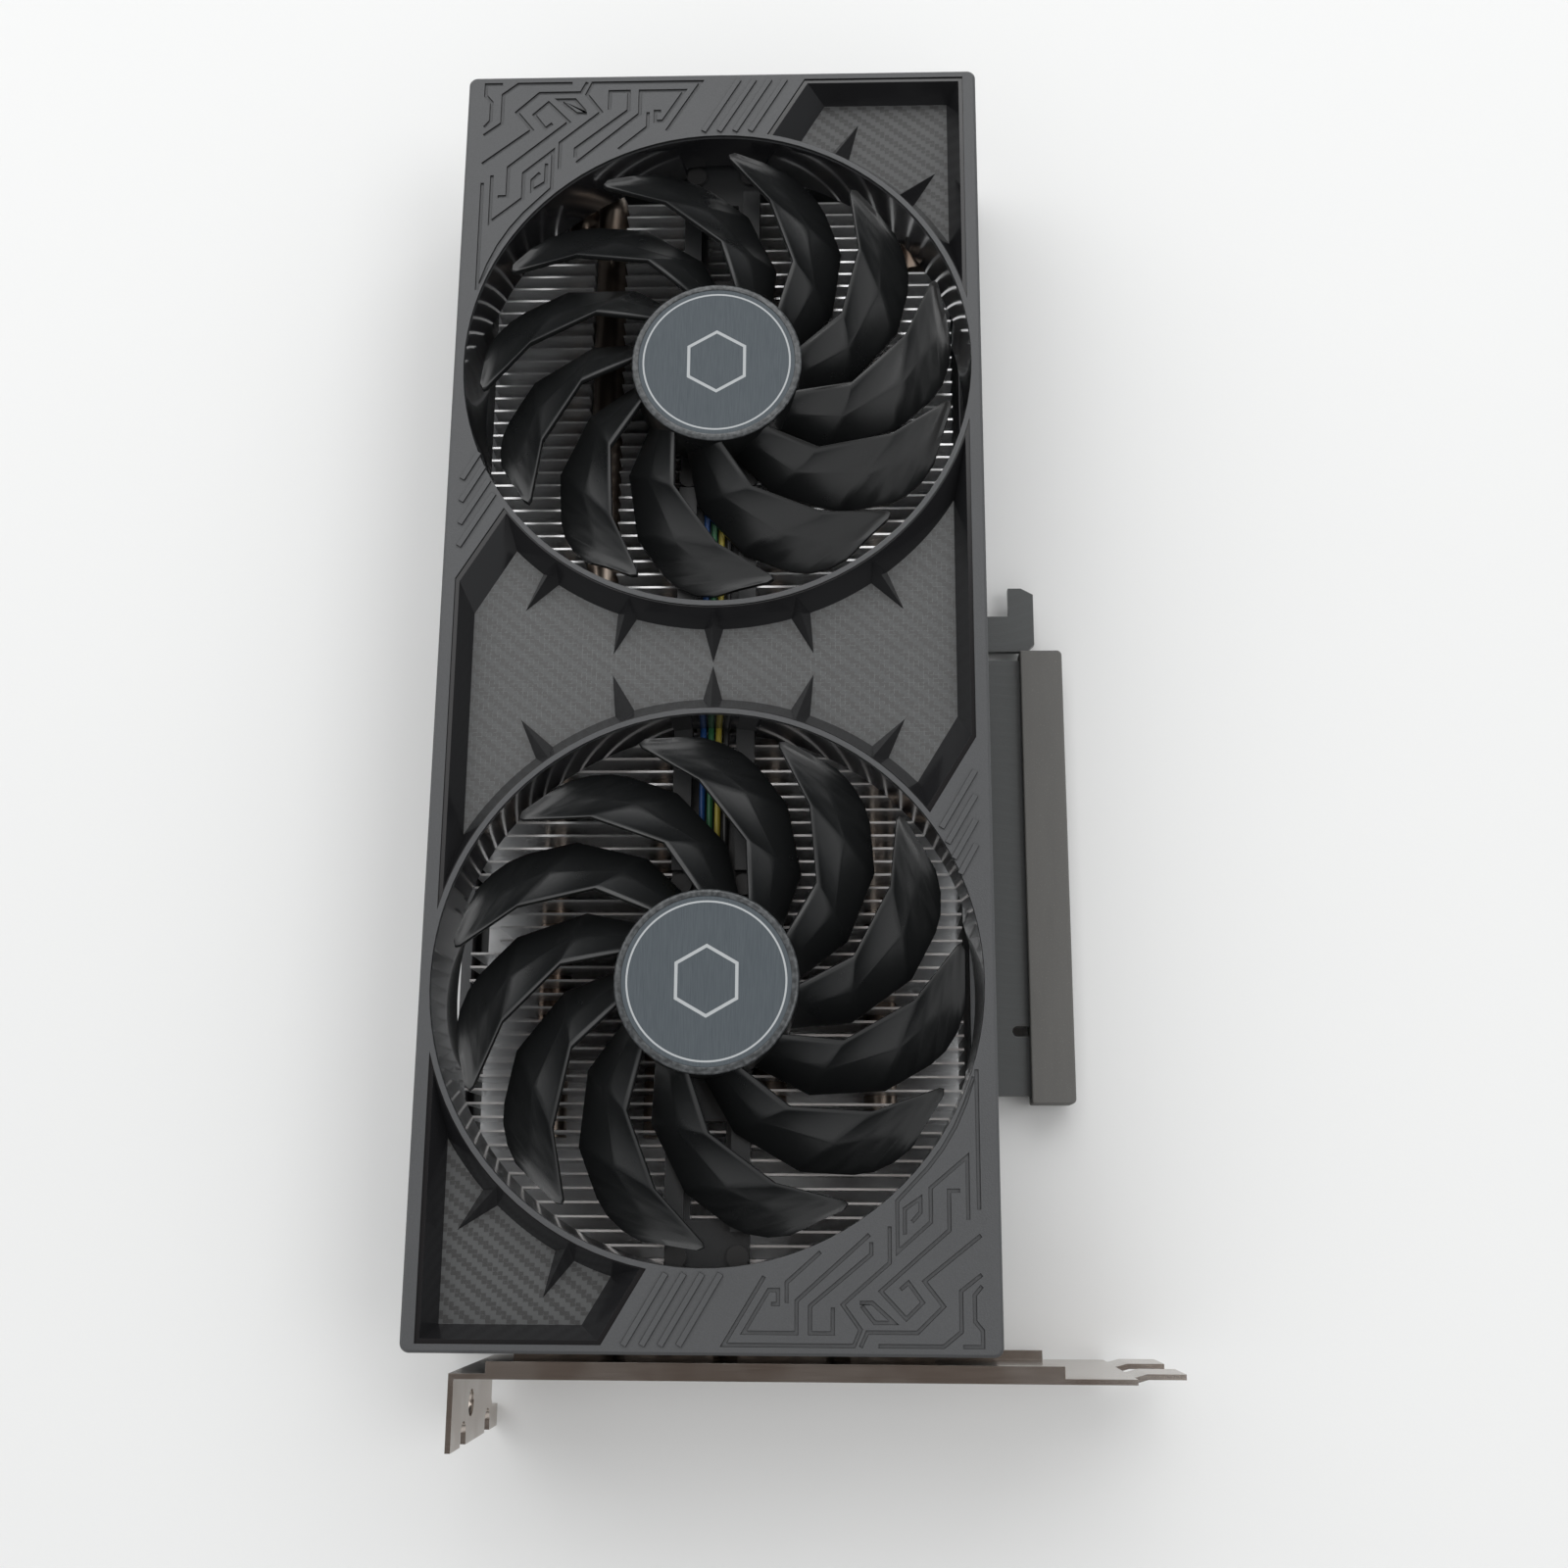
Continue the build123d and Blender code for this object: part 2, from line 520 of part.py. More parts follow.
def fin_stack(left, start, pitch, count, returns, cuts):
    """Row of upright fins.

    returns lists the (x, from y) of pipe slots that are open at the top, and cuts the boxes
    (low x, high x, low y, high y, low z) that are left out for what bends or stands there.
    """
    planes = [
        Plane(origin=cooler_point(0, start + index * pitch, 0), x_dir=(1, 0, 0), z_dir=(0, -1, 0))
        for index in range(count)
    ]
    with BuildPart() as stack:
        with BuildSketch(*planes):
            with Locations(((left + FIN_RIGHT) / 2, (FIN_BOTTOM + FIN_TOP) / 2)):
                Rectangle(FIN_RIGHT - left, FIN_TOP - FIN_BOTTOM)
            for x in (-OUTER_PIPE_X, -INNER_PIPE_X, INNER_PIPE_X, OUTER_PIPE_X):
                with Locations((x, LOWER_PIPE_Z)):
                    Circle(PIPE_SLOT, mode=Mode.SUBTRACT)
                with Locations((x, (FIN_BOTTOM + LOWER_PIPE_Z) / 2)):
                    Rectangle(2 * PIPE_SLOT, LOWER_PIPE_Z - FIN_BOTTOM, mode=Mode.SUBTRACT)
        extrude(amount=-FIN_THICKNESS)
        for x, first in returns:
            length = FAR_END + 1.0 - first
            with Locations(cooler_point(x, first + length / 2, (UPPER_PIPE_Z + FIN_TOP + 1.0) / 2)):
                Box(2 * PIPE_SLOT, length, FIN_TOP + 1.0 - UPPER_PIPE_Z, mode=Mode.SUBTRACT)
            with Locations(cooler_point(x, first + length / 2, UPPER_PIPE_Z)):
                Cylinder(PIPE_SLOT, length, rotation=(90, 0, 0), mode=Mode.SUBTRACT)
        for low_x, high_x, low_y, high_y, low_z in cuts:
            with Locations(cooler_point((low_x + high_x) / 2, (low_y + high_y) / 2, low_z)):
                Box(high_x - low_x, high_y - low_y, 2 * (FIN_TOP + 1.0 - low_z), mode=Mode.SUBTRACT)
    return stack


near_start = -MIDDLE_GAP - FIN_THICKNESS - (NEAR_COUNT - 1) * NEAR_PITCH
near_cuts = [(-50.0, -38.3, -49.8, -45.8, FIN_BOTTOM + 0.2)]
finish(fin_stack(FIN_LEFT["near"], near_start, NEAR_PITCH, NEAR_COUNT, [], near_cuts), "fin_stack_near")
far_returns = [(LEFT_RETURN_X, MIDDLE_GAP - 1.0), (RIGHT_RETURN_X, RIGHT_SLOT_FROM)]
far_cuts = [(-50.0, -19.6, 93.0, 110.0, BEND_FLOOR), (33.0, 50.0, 87.0, 110.0, BEND_FLOOR)]
finish(fin_stack(FIN_LEFT["far"], MIDDLE_GAP, FAR_PITCH, FAR_COUNT, far_returns, far_cuts), "fin_stack_far")

for name, low, high in (("near", near_start, -MIDDLE_GAP), ("far", MIDDLE_GAP, FAR_END)):
    with BuildPart() as base_plate:
        with BuildSketch(cooler.offset(PLATE_OVER)):
            with Locations(((FIN_LEFT[name] + FIN_RIGHT) / 2, (low + high) / 2)):
                Rectangle(FIN_RIGHT - FIN_LEFT[name], high - low)
        extrude(amount=FIN_BOTTOM - PLATE_OVER)
    finish(base_plate, f"heatsink_base_{name}")


def looped_pipe(x, return_x, return_end):
    """Heat pipe that runs along the base, turns at the far end and comes back near the fin tops."""
    corners = [
        (x, PIPE_END, LOWER_PIPE_Z),
        (x, PIPE_LOOP, LOWER_PIPE_Z),
        (return_x, PIPE_LOOP, UPPER_PIPE_Z),
        (return_x, return_end, UPPER_PIPE_Z),
    ]
    with BuildPart() as pipe:
        with BuildLine(cooler) as route:
            FilletPolyline(*corners, radius=PIPE_BEND)
        path = route.wires()[0]
        with BuildSketch(Plane(origin=path @ 0, z_dir=path % 0)):
            Circle(PIPE_RADIUS)
        sweep(path=path)
    return pipe


finish(looped_pipe(-OUTER_PIPE_X, LEFT_RETURN_X, PIPE_RETURN_END), "heatpipe_left")
finish(looped_pipe(OUTER_PIPE_X, RIGHT_RETURN_X, RIGHT_SLOT_FROM + 1.0), "heatpipe_right")

with BuildPart() as inner_pipes:
    with BuildSketch(Plane(origin=cooler_point(0, PIPE_END, LOWER_PIPE_Z), x_dir=(1, 0, 0), z_dir=(0, 1, 0))):
        with Locations((-INNER_PIPE_X, 0), (INNER_PIPE_X, 0)):
            Circle(PIPE_RADIUS)
    extrude(amount=FAR_END - PIPE_END)
finish(inner_pipes, "heatpipes_inner")

with BuildPart() as cold_plate:
    with BuildSketch(cooler.offset(PLATE_UNDER)):
        with Locations((0, GPU_Y)):
            RectangleRounded(COLD_PLATE, COLD_PLATE, 3.0)
            with GridLocations(SCREW_SPACING, SCREW_SPACING, 2, 2):
                Circle(SCREW_RADIUS, mode=Mode.SUBTRACT)
    extrude(amount=PLATE_OVER - PLATE_UNDER)
finish(cold_plate, "cold_plate")

# ---------------------------------------------------------------- board and what stands on it
MEMORY = [(-29.0, -10.0), (-29.0, 10.0), (29.0, -10.0), (29.0, 10.0)]
MEMORY_END = [(-10.0, 29.0), (10.0, 29.0)]
COOLER_SCREWS = [(x * SCREW_SPACING / 2, GPU_Y + y * SCREW_SPACING / 2) for x in (-1, 1) for y in (-1, 1)]
CHIP_HEIGHT = 1.2
PACKAGE_HEIGHT = 1.6
BRACKET_SCREWS = [(12.0, 5.5), (76.0, 5.5)]

with BuildPart() as board:
    with BuildSketch(card.offset(-BOARD_THICKNESS)):
        with Locations((-5.15, 1.8)):
            Rectangle(BOARD_RIGHT + 5.15, BOARD_FAR - 1.8, align=(Align.MIN, Align.MIN))
        with Locations((BOARD_RIGHT, EDGE_TAB_NEAR)):
            Rectangle(EDGE_TAB_OUT - BOARD_RIGHT, EDGE_TAB, align=(Align.MIN, Align.MIN))
        Polygon(
            (BOARD_RIGHT, 134.95), (100.8, 134.95), (102.4, 136.4), (102.4, 146.9), (100.0, 148.2),
            (97.4, 148.2), (97.4, 142.3), (BOARD_RIGHT, 142.3), align=None,
        )
        with Locations((102.1, 59.95), (101.1, 134.0)):
            SlotOverall(11.9, 1.9, mode=Mode.SUBTRACT)
    extrude(amount=BOARD_THICKNESS)
    outer = board.edges().filter_by(Axis.Y).group_by(Axis.X)[-1]
    chamfer(outer, 0.5)
    with BuildSketch(cooler.offset(-BOARD_THICKNESS)):
        with Locations(*COOLER_SCREWS, *CORNER_BOSSES):
            Circle(SCREW_RADIUS + 0.1)
    extrude(amount=BOARD_THICKNESS, mode=Mode.SUBTRACT)
    with BuildSketch(card.offset(-BOARD_THICKNESS)):
        with Locations(*BRACKET_SCREWS):
            Circle(1.25)
    extrude(amount=BOARD_THICKNESS, mode=Mode.SUBTRACT)
finish(board, "circuit_board")

CONTACT_COUNT = 82
CONTACTS_BEFORE_KEY = 11
KEY_GAP = 2.0
CONTACT_PITCH = 1.0
CONTACT_SIZE = (4.2, 0.7)
CONTACT_THICKNESS = 0.05

with BuildPart() as contacts:
    for height in (-BOARD_THICKNESS - CONTACT_THICKNESS, 0.0):
        with BuildSketch(card.offset(height)):
            for index in range(CONTACT_COUNT):
                past_key = KEY_GAP if index >= CONTACTS_BEFORE_KEY else 0.0
                contact_y = EDGE_TAB_NEAR + 0.85 + index * CONTACT_PITCH + past_key
                with Locations((EDGE_TAB_OUT - 3.1, contact_y)):
                    Rectangle(*CONTACT_SIZE)
        extrude(amount=CONTACT_THICKNESS)
finish(contacts, "edge_contacts")

with BuildPart() as substrate:
    with BuildSketch(cooler.offset(0)):
        with Locations((0, GPU_Y)):
            RectangleRounded(38.0, 38.0, 0.6)
    extrude(amount=PACKAGE_HEIGHT)
finish(substrate, "gpu_package")

with BuildPart() as die:
    with BuildSketch(cooler.offset(PACKAGE_HEIGHT)):
        with Locations((0, GPU_Y)):
            Rectangle(19.0, 14.0)
    extrude(amount=PLATE_UNDER - PACKAGE_HEIGHT)
finish(die, "gpu_die")

MEMORY_LAYERS = {
    # bottom, top, how much smaller than a memory chip
    "memory_chips": (0.0, CHIP_HEIGHT, 0.0),
    "thermal_pads": (CHIP_HEIGHT, PLATE_UNDER, 1.0),
}
for name, (low, high, shrink) in MEMORY_LAYERS.items():
    with BuildPart() as chips:
        with BuildSketch(cooler.offset(low)):
            with Locations(*[(x, GPU_Y + y) for x, y in MEMORY]):
                Rectangle(12.0 - shrink, 14.0 - shrink)
            with Locations(*[(x, GPU_Y + y) for x, y in MEMORY_END]):
                Rectangle(14.0 - shrink, 12.0 - shrink)
        extrude(amount=high - low)
    finish(chips, name)

CHOKES = [(33.0, 18.0 + 9.0 * i) for i in range(6)] + [(-36.0, 18.0 + 9.0 * i) for i in range(4)]
with BuildPart() as chokes:
    with BuildSketch(cooler.offset(0)):
        with Locations(*CHOKES):
            RectangleRounded(7.4, 7.4, 0.6)
    extrude(amount=4.2)
    chamfer(chokes.faces().filter_by(Axis.Z).group_by(Axis.Z)[-1].edges(), 0.3)
finish(chokes, "chokes")

with BuildPart() as stages:
    with BuildSketch(cooler.offset(0)):
        with Locations(*[(x - math.copysign(8.5, x), y) for x, y in CHOKES]):
            Rectangle(5.0, 6.0)
    extrude(amount=0.9)
finish(stages, "power_stages")

CAPACITORS = [(x - math.copysign(16.0, x), y) for x, y in CHOKES]
CAPACITORS += [(-38.0, -106.0 + 7.0 * i) for i in range(3)]
with BuildPart() as capacitors:
    with BuildSketch(cooler.offset(0)):
        with Locations(*CAPACITORS):
            Circle(2.9)
    extrude(amount=4.8)
    fillet(capacitors.faces().filter_by(Axis.Z).group_by(Axis.Z)[-1].edges(), 0.3)
finish(capacitors, "capacitors")

POWER_WIDTH = 18.4
with BuildPart() as power:
    with BuildSketch(cooler.offset(0)):
        with Locations((-41.6, 0)):
            Rectangle(12.6, POWER_WIDTH)
    extrude(amount=9.6)
    with BuildSketch(Plane(origin=cooler_point(-47.9, 0, 4.8), x_dir=(0, 1, 0), z_dir=(1, 0, 0))):
        with GridLocations(4.2, 4.2, 4, 2):
            Rectangle(3.4, 3.4)
    extrude(amount=9.0, mode=Mode.SUBTRACT)
    with Locations(cooler_point(-45.4, 0, 10.1)):
        Box(5.0, 4.2, 1.0)
finish(power, "power_connector")

with BuildPart() as power_pins:
    with BuildSketch(Plane(origin=cooler_point(-46.4, 0, 4.8), x_dir=(0, 1, 0), z_dir=(1, 0, 0))):
        with GridLocations(4.2, 4.2, 4, 2):
            Rectangle(1.1, 1.1)
    extrude(amount=7.5)
finish(power_pins, "power_pins")

# ---------------------------------------------------------------- display ports
PORT_FRONT = -0.6
PORT_DEPTH = 13.6
PORT_METAL = 0.45
PORT_X = {"display_port_1": 14.0, "display_port_2": 34.0, "display_port_3": 54.0, "hdmi_port": 73.0}
DISPLAY_OUTLINE = [(-8.6, 0.3), (8.6, 0.3), (8.6, 4.2), (7.0, 6.1), (-8.6, 6.1)]
HDMI_OUTLINE = [(-5.6, 0.3), (5.6, 0.3), (7.5, 2.0), (7.5, 5.8), (-7.5, 5.8), (-7.5, 2.0)]


def front_plane(x, y, z=0.0):
    """Upright plane facing out of the bracket, its sketch axes along +X and +Z."""
    return Plane(origin=card_point(x, y, z), x_dir=(1, 0, 0), z_dir=(0, -1, 0))


def port_outline(name):
    return HDMI_OUTLINE if name == "hdmi_port" else DISPLAY_OUTLINE


for name, x in PORT_X.items():
    with BuildPart() as shell:
        with BuildSketch(front_plane(x, PORT_FRONT)):
            Polygon(*port_outline(name), align=None)
        extrude(amount=-PORT_DEPTH)
        with BuildSketch(front_plane(x, PORT_FRONT)):
            Polygon(*port_outline(name), align=None)
            offset(amount=-PORT_METAL, kind=Kind.INTERSECTION, mode=Mode.REPLACE)
        extrude(amount=-(PORT_DEPTH - PORT_METAL), mode=Mode.SUBTRACT)
    finish(shell, name)

with BuildPart() as insulators:
    for name, x in PORT_X.items():
        with BuildSketch(front_plane(x, PORT_FRONT + PORT_DEPTH - PORT_METAL)):
            Polygon(*port_outline(name), align=None)
            offset(amount=-PORT_METAL, kind=Kind.INTERSECTION, mode=Mode.REPLACE)
        extrude(amount=3.0)
        with BuildSketch(front_plane(x, PORT_FRONT + PORT_DEPTH - PORT_METAL - 3.0)):
            with Locations((0, 3.2)):
                Rectangle(11.6, 1.6)
        extrude(amount=8.0)
finish(insulators, "port_insulators")

# ---------------------------------------------------------------- bracket
TAB_OUT = 11.43
FLANGE_START = 6.0
FLANGE_END = 99.9
FLANGE_DEPTH = 2.8
TONGUE_HEIGHT = 10.2
TONGUE_END = 120.02
TONGUE_TOP = 30.6
VENT_COUNT = 14

with BuildPart() as bracket:
    with BuildSketch(front_plane(0, 0)):
        with Locations((0, PLATE_LOW)):
            Rectangle(PLATE_END, PLATE_HIGH - PLATE_LOW, align=(Align.MIN, Align.MIN))
        for name, x in PORT_X.items():
            with Locations((x, 0)):
                Polygon(*[(px * 1.025, 3.2 + (pz - 3.2) * 1.06) for px, pz in port_outline(name)], align=None,
                        mode=Mode.SUBTRACT)
        for index in range(VENT_COUNT):
            with Locations((10.5 + index * 6.0, 21.4)):
                SlotOverall(18.0, 3.0, rotation=90, mode=Mode.SUBTRACT)
    extrude(amount=-PLATE)
    for height, depth, end in ((PLATE_HIGH - PLATE, FLANGE_DEPTH, FLANGE_END), (PLATE_LOW, 2.5, 100.4)):
        with BuildSketch(card.offset(height)):
            with Locations((FLANGE_START, 0)):
                Rectangle(end - FLANGE_START, depth, align=(Align.MIN, Align.MIN))
        extrude(amount=PLATE)
    for top in (TONGUE_TOP, TONGUE_TOP - SLOT_PITCH):
        with BuildSketch(card.offset(top - TONGUE_HEIGHT)):
            Polygon(
                (PLATE_END - 0.5, 0), (PLATE_END + 0.6, 0), (PLATE_END + 2.4, 0.5), (TONGUE_END, 0.5),
                (TONGUE_END, 0.5 + PLATE), (PLATE_END + 2.2, 0.5 + PLATE), (PLATE_END + 0.4, PLATE),
                (PLATE_END - 0.5, PLATE), align=None,
            )
        extrude(amount=TONGUE_HEIGHT)
    tab_plane = Plane(origin=card_point(0, 0, 0), x_dir=(0, -1, 0), z_dir=(-1, 0, 0))
    with BuildSketch(tab_plane):
        Polygon(
            (-PLATE, 1.6), (6.2, 1.6), (7.6, 0.2), (7.6, -4.4), (TAB_OUT, -4.4), (TAB_OUT, PLATE_HIGH),
            (-PLATE, PLATE_HIGH), align=None,
        )
        with Locations((5.1, 19.5)):
            Circle(2.2, mode=Mode.SUBTRACT)
        with Locations(*[(TAB_OUT, 4.8 + row * SLOT_PITCH) for row in range(2)]):
            SlotOverall(7.8, 4.4, mode=Mode.SUBTRACT)
    extrude(amount=-PLATE)
    with BuildSketch(card.offset(-BOARD_THICKNESS - PLATE)):
        for x, y in BRACKET_SCREWS:
            with Locations((x, 4.5)):
                Rectangle(9.0, 9.0)
                with Locations((0, y - 4.5)):
                    Circle(1.25, mode=Mode.SUBTRACT)
    extrude(amount=PLATE)
finish(bracket, "bracket")

with BuildPart() as bracket_screws:
    with BuildSketch(card.offset(-BOARD_THICKNESS - PLATE - 1.1)):
        with Locations(*BRACKET_SCREWS):
            Circle(2.3)
    extrude(amount=1.1)
    with BuildSketch(card.offset(-BOARD_THICKNESS - PLATE)):
        with Locations(*BRACKET_SCREWS):
            Circle(1.25)
    extrude(amount=BOARD_THICKNESS + PLATE)
finish(bracket_screws, "bracket_screws")

# ---------------------------------------------------------------- backplate
BACKPLATE = 1.0
BACKPLATE_TOP = -UNDERSIDE + BACKPLATE
HEAD_RADIUS = 2.6
HEAD_DEPTH = 0.5  # middle of a countersunk head above the underside
SPRING_REACH = 3.3  # the springs stand this far below the board's component side
COOLER_HEAD = 1.4

with BuildPart() as backplate:
    with BuildSketch(cooler.offset(-UNDERSIDE)):
        RectangleRounded(SHROUD_WIDTH, SHROUD_LENGTH, 3.0)
        with Locations(*COOLER_SCREWS):
            Circle(4.2, mode=Mode.SUBTRACT)
        with Locations((0, GPU_Y)):
            RectangleRounded(34.0, 34.0, 3.0, mode=Mode.SUBTRACT)
        for index in range(9):
            with Locations((0, 44.0 + index * 7.0)):
                SlotOverall(60.0, 3.2, mode=Mode.SUBTRACT)
    extrude(amount=BACKPLATE)
    with BuildSketch(cooler.offset(BACKPLATE_TOP)):
        RectangleRounded(SHROUD_WIDTH, SHROUD_LENGTH, 3.0)
        RectangleRounded(SHROUD_WIDTH - 2.4, SHROUD_LENGTH - 2.4, 1.8, mode=Mode.SUBTRACT)
        with Locations((0, -SHROUD_LENGTH / 2)):
            Rectangle(80.0, 4.0, mode=Mode.SUBTRACT)
        with Locations(*CORNER_BOSSES):
            Circle(3.2)
    extrude(amount=-BOARD_THICKNESS - BACKPLATE_TOP)
    with Locations(*[cooler_point(x, y, -UNDERSIDE) for x, y in CORNER_BOSSES]):
        Cylinder(SCREW_RADIUS + 0.1, 20.0, mode=Mode.SUBTRACT)
    with Locations(*[cooler_point(x, y, -UNDERSIDE + HEAD_DEPTH) for x, y in CORNER_BOSSES]):
        Cone(HEAD_RADIUS, SCREW_RADIUS + 0.1, BACKPLATE, mode=Mode.SUBTRACT)
finish(backplate, "backplate")

with BuildPart() as backplate_screws:
    with Locations(*[cooler_point(x, y, -UNDERSIDE + HEAD_DEPTH) for x, y in CORNER_BOSSES]):
        Cone(HEAD_RADIUS, SCREW_RADIUS, BACKPLATE)
    with BuildSketch(cooler.offset(BACKPLATE_TOP)):
        with Locations(*CORNER_BOSSES):
            Circle(SCREW_RADIUS)
    extrude(amount=5.8 - BACKPLATE_TOP)
    with Locations(*[cooler_point(x, y, -UNDERSIDE + 0.2) for x, y in CORNER_BOSSES]):
        Box(3.2, 0.7, 0.4, mode=Mode.SUBTRACT)
        Box(0.7, 3.2, 0.4, mode=Mode.SUBTRACT)
finish(backplate_screws, "backplate_screws")

with BuildPart() as cooler_screws:
    with BuildSketch(cooler.offset(-SPRING_REACH - COOLER_HEAD)):
        with Locations(*COOLER_SCREWS):
            Circle(3.2)
    extrude(amount=COOLER_HEAD)
    with BuildSketch(cooler.offset(-SPRING_REACH)):
        with Locations(*COOLER_SCREWS):
            Circle(SCREW_RADIUS)
    extrude(amount=SPRING_REACH + 5.0)
    with Locations(*[cooler_point(x, y, 0.3 - SPRING_REACH - COOLER_HEAD) for x, y in COOLER_SCREWS]):
        Box(3.6, 0.8, 0.6, mode=Mode.SUBTRACT)
        Box(0.8, 3.6, 0.6, mode=Mode.SUBTRACT)
finish(cooler_screws, "cooler_screws")

with BuildPart() as springs:
    with BuildSketch(cooler.offset(-SPRING_REACH)):
        with Locations(*COOLER_SCREWS):
            Circle(2.7)
            Circle(1.8, mode=Mode.SUBTRACT)
    extrude(amount=SPRING_REACH - BOARD_THICKNESS)
finish(springs, "screw_springs")

# ---------------------------------------------------------------- edge-connector cap
CAP_WALL = 1.2
CAP_GAP = 0.3
CAP_INNER_END = EDGE_TAB_OUT + CAP_GAP
CAP_LOW_X = 99.3
CAP_TOP = 2.0
CAP_BOTTOM = -3.5

with BuildPart() as cap:
    with BuildSketch(card.offset(CAP_BOTTOM)):
        with Locations((CAP_LOW_X, EDGE_TAB_NEAR - CAP_GAP - CAP_WALL)):
            Rectangle(CAP_INNER_END + CAP_WALL - CAP_LOW_X, EDGE_TAB + 2 * (CAP_GAP + CAP_WALL),
                      align=(Align.MIN, Align.MIN))
    extrude(amount=CAP_TOP - CAP_BOTTOM)
    fillet(cap.edges().filter_by(Axis.Z).group_by(Axis.X)[-1], 1.0)
    with BuildSketch(card.offset(-BOARD_THICKNESS - CAP_GAP - 0.05)):
        with Locations((CAP_LOW_X - 1.0, EDGE_TAB_NEAR - CAP_GAP)):
            Rectangle(CAP_INNER_END - CAP_LOW_X + 1.0, EDGE_TAB + 2 * CAP_GAP, align=(Align.MIN, Align.MIN))
    extrude(amount=BOARD_THICKNESS + 2 * (CAP_GAP + 0.05), mode=Mode.SUBTRACT)
finish(cap, "connector_cap")
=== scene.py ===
"""Looks of a dual-slot, dual-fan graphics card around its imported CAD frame.

Metres, +Z up out of the fan side, +Y from the rear bracket to the far end, +X towards the edge connector.
"""

import math

import bmesh
import bpy
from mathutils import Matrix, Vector


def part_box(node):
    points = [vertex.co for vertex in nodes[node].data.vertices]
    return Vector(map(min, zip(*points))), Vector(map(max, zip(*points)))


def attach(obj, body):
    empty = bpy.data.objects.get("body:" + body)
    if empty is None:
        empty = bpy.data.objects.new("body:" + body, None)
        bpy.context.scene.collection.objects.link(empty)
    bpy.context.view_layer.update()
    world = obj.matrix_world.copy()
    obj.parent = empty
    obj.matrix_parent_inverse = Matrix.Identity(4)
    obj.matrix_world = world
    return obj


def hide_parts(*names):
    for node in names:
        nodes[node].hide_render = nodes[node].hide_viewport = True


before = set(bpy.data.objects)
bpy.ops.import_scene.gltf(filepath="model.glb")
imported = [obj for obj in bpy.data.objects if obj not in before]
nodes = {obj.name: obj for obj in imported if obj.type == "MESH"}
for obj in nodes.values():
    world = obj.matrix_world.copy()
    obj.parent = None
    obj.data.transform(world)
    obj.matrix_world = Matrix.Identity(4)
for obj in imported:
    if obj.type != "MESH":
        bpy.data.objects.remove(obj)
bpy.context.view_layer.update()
MM = 0.001

# ---------------------------------------------------------------- camera, light and floor
CAMERA_PLACE = (0.00797, -0.08812, 0.33581)
CAMERA_TILT = (0.241, 0.032, 0.006)
LENS = 40.01  # millimetres, as is the sensor
SENSOR_WIDTH = 36.0
WORLD_STRENGTH = 0.97
BACKDROP = (0.74, 0.745, 0.75, 1.0)
LIGHTS = {
    # name: place, size, watts
    "window": ((-0.6, 0.75, 1.0), (1.5, 1.5), 7.0),
    "ceiling": ((0.45, 1.25, 1.1), (1.7, 0.9), 7.0),
    "overhead": ((0.66, -0.10, 1.2), (0.5, 0.5), 2.4),
}
TABLE_REACH = 4.0  # from the middle of the table to its edge


def add_camera():
    data = bpy.data.cameras.new("camera")
    data.lens = LENS
    data.sensor_width = SENSOR_WIDTH
    data.clip_start = 0.01
    camera = bpy.data.objects.new("camera", data)
    camera.location = CAMERA_PLACE
    camera.rotation_euler = CAMERA_TILT
    bpy.context.scene.collection.objects.link(camera)
    bpy.context.scene.camera = camera


def add_area_light(name, place, size, power):
    """Rectangular light that faces the origin."""
    data = bpy.data.lights.new(name, "AREA")
    data.shape = "RECTANGLE"
    data.size, data.size_y = size
    data.energy = power
    light = bpy.data.objects.new(name, data)
    light.location = place
    light.rotation_euler = Vector(place).to_track_quat("Z", "Y").to_euler()
    bpy.context.scene.collection.objects.link(light)


def add_world():
    """Soft box: bright from 30 to 60 degrees up, dim at table height, a warm dim patch straight above.

    Where no floor is seen, the camera sees a plain pale backdrop instead.
    """
    world = bpy.data.worlds.new("studio")
    world.use_nodes = True
    tree = world.node_tree
    place = tree.nodes.new("ShaderNodeTexCoord")
    split = tree.nodes.new("ShaderNodeSeparateXYZ")
    tree.links.new(place.outputs["Generated"], split.inputs[0])
    ramp = tree.nodes.new("ShaderNodeValToRGB")
    tree.links.new(split.outputs[2], ramp.inputs[0])
    stops = ramp.color_ramp.elements
    stops[0].position, stops[0].color = 0.0, (0.10, 0.105, 0.11, 1.0)
    stops[1].position, stops[1].color = 0.55, (0.97, 0.975, 0.98, 1.0)
    stops.new(0.2).color = (0.30, 0.31, 0.32, 1.0)
    stops.new(0.87).color = (0.87, 0.875, 0.88, 1.0)
    stops.new(0.95).color = (0.13, 0.11, 0.10, 1.0)
    paths = tree.nodes.new("ShaderNodeLightPath")
    seen = tree.nodes.new("ShaderNodeMix")
    seen.data_type = "RGBA"
    tree.links.new(paths.outputs["Is Camera Ray"], seen.inputs["Factor"])
    tree.links.new(ramp.outputs[0], seen.inputs[6])
    seen.inputs[7].default_value = BACKDROP
    background = tree.nodes["Background"]
    tree.links.new(seen.outputs[2], background.inputs["Color"])
    background.inputs["Strength"].default_value = WORLD_STRENGTH
    bpy.context.scene.world = world


def add_lights():
    add_world()
    for name, (place, size, power) in LIGHTS.items():
        add_area_light(name, place, size, power)
    bpy.context.scene.view_settings.view_transform = "Standard"


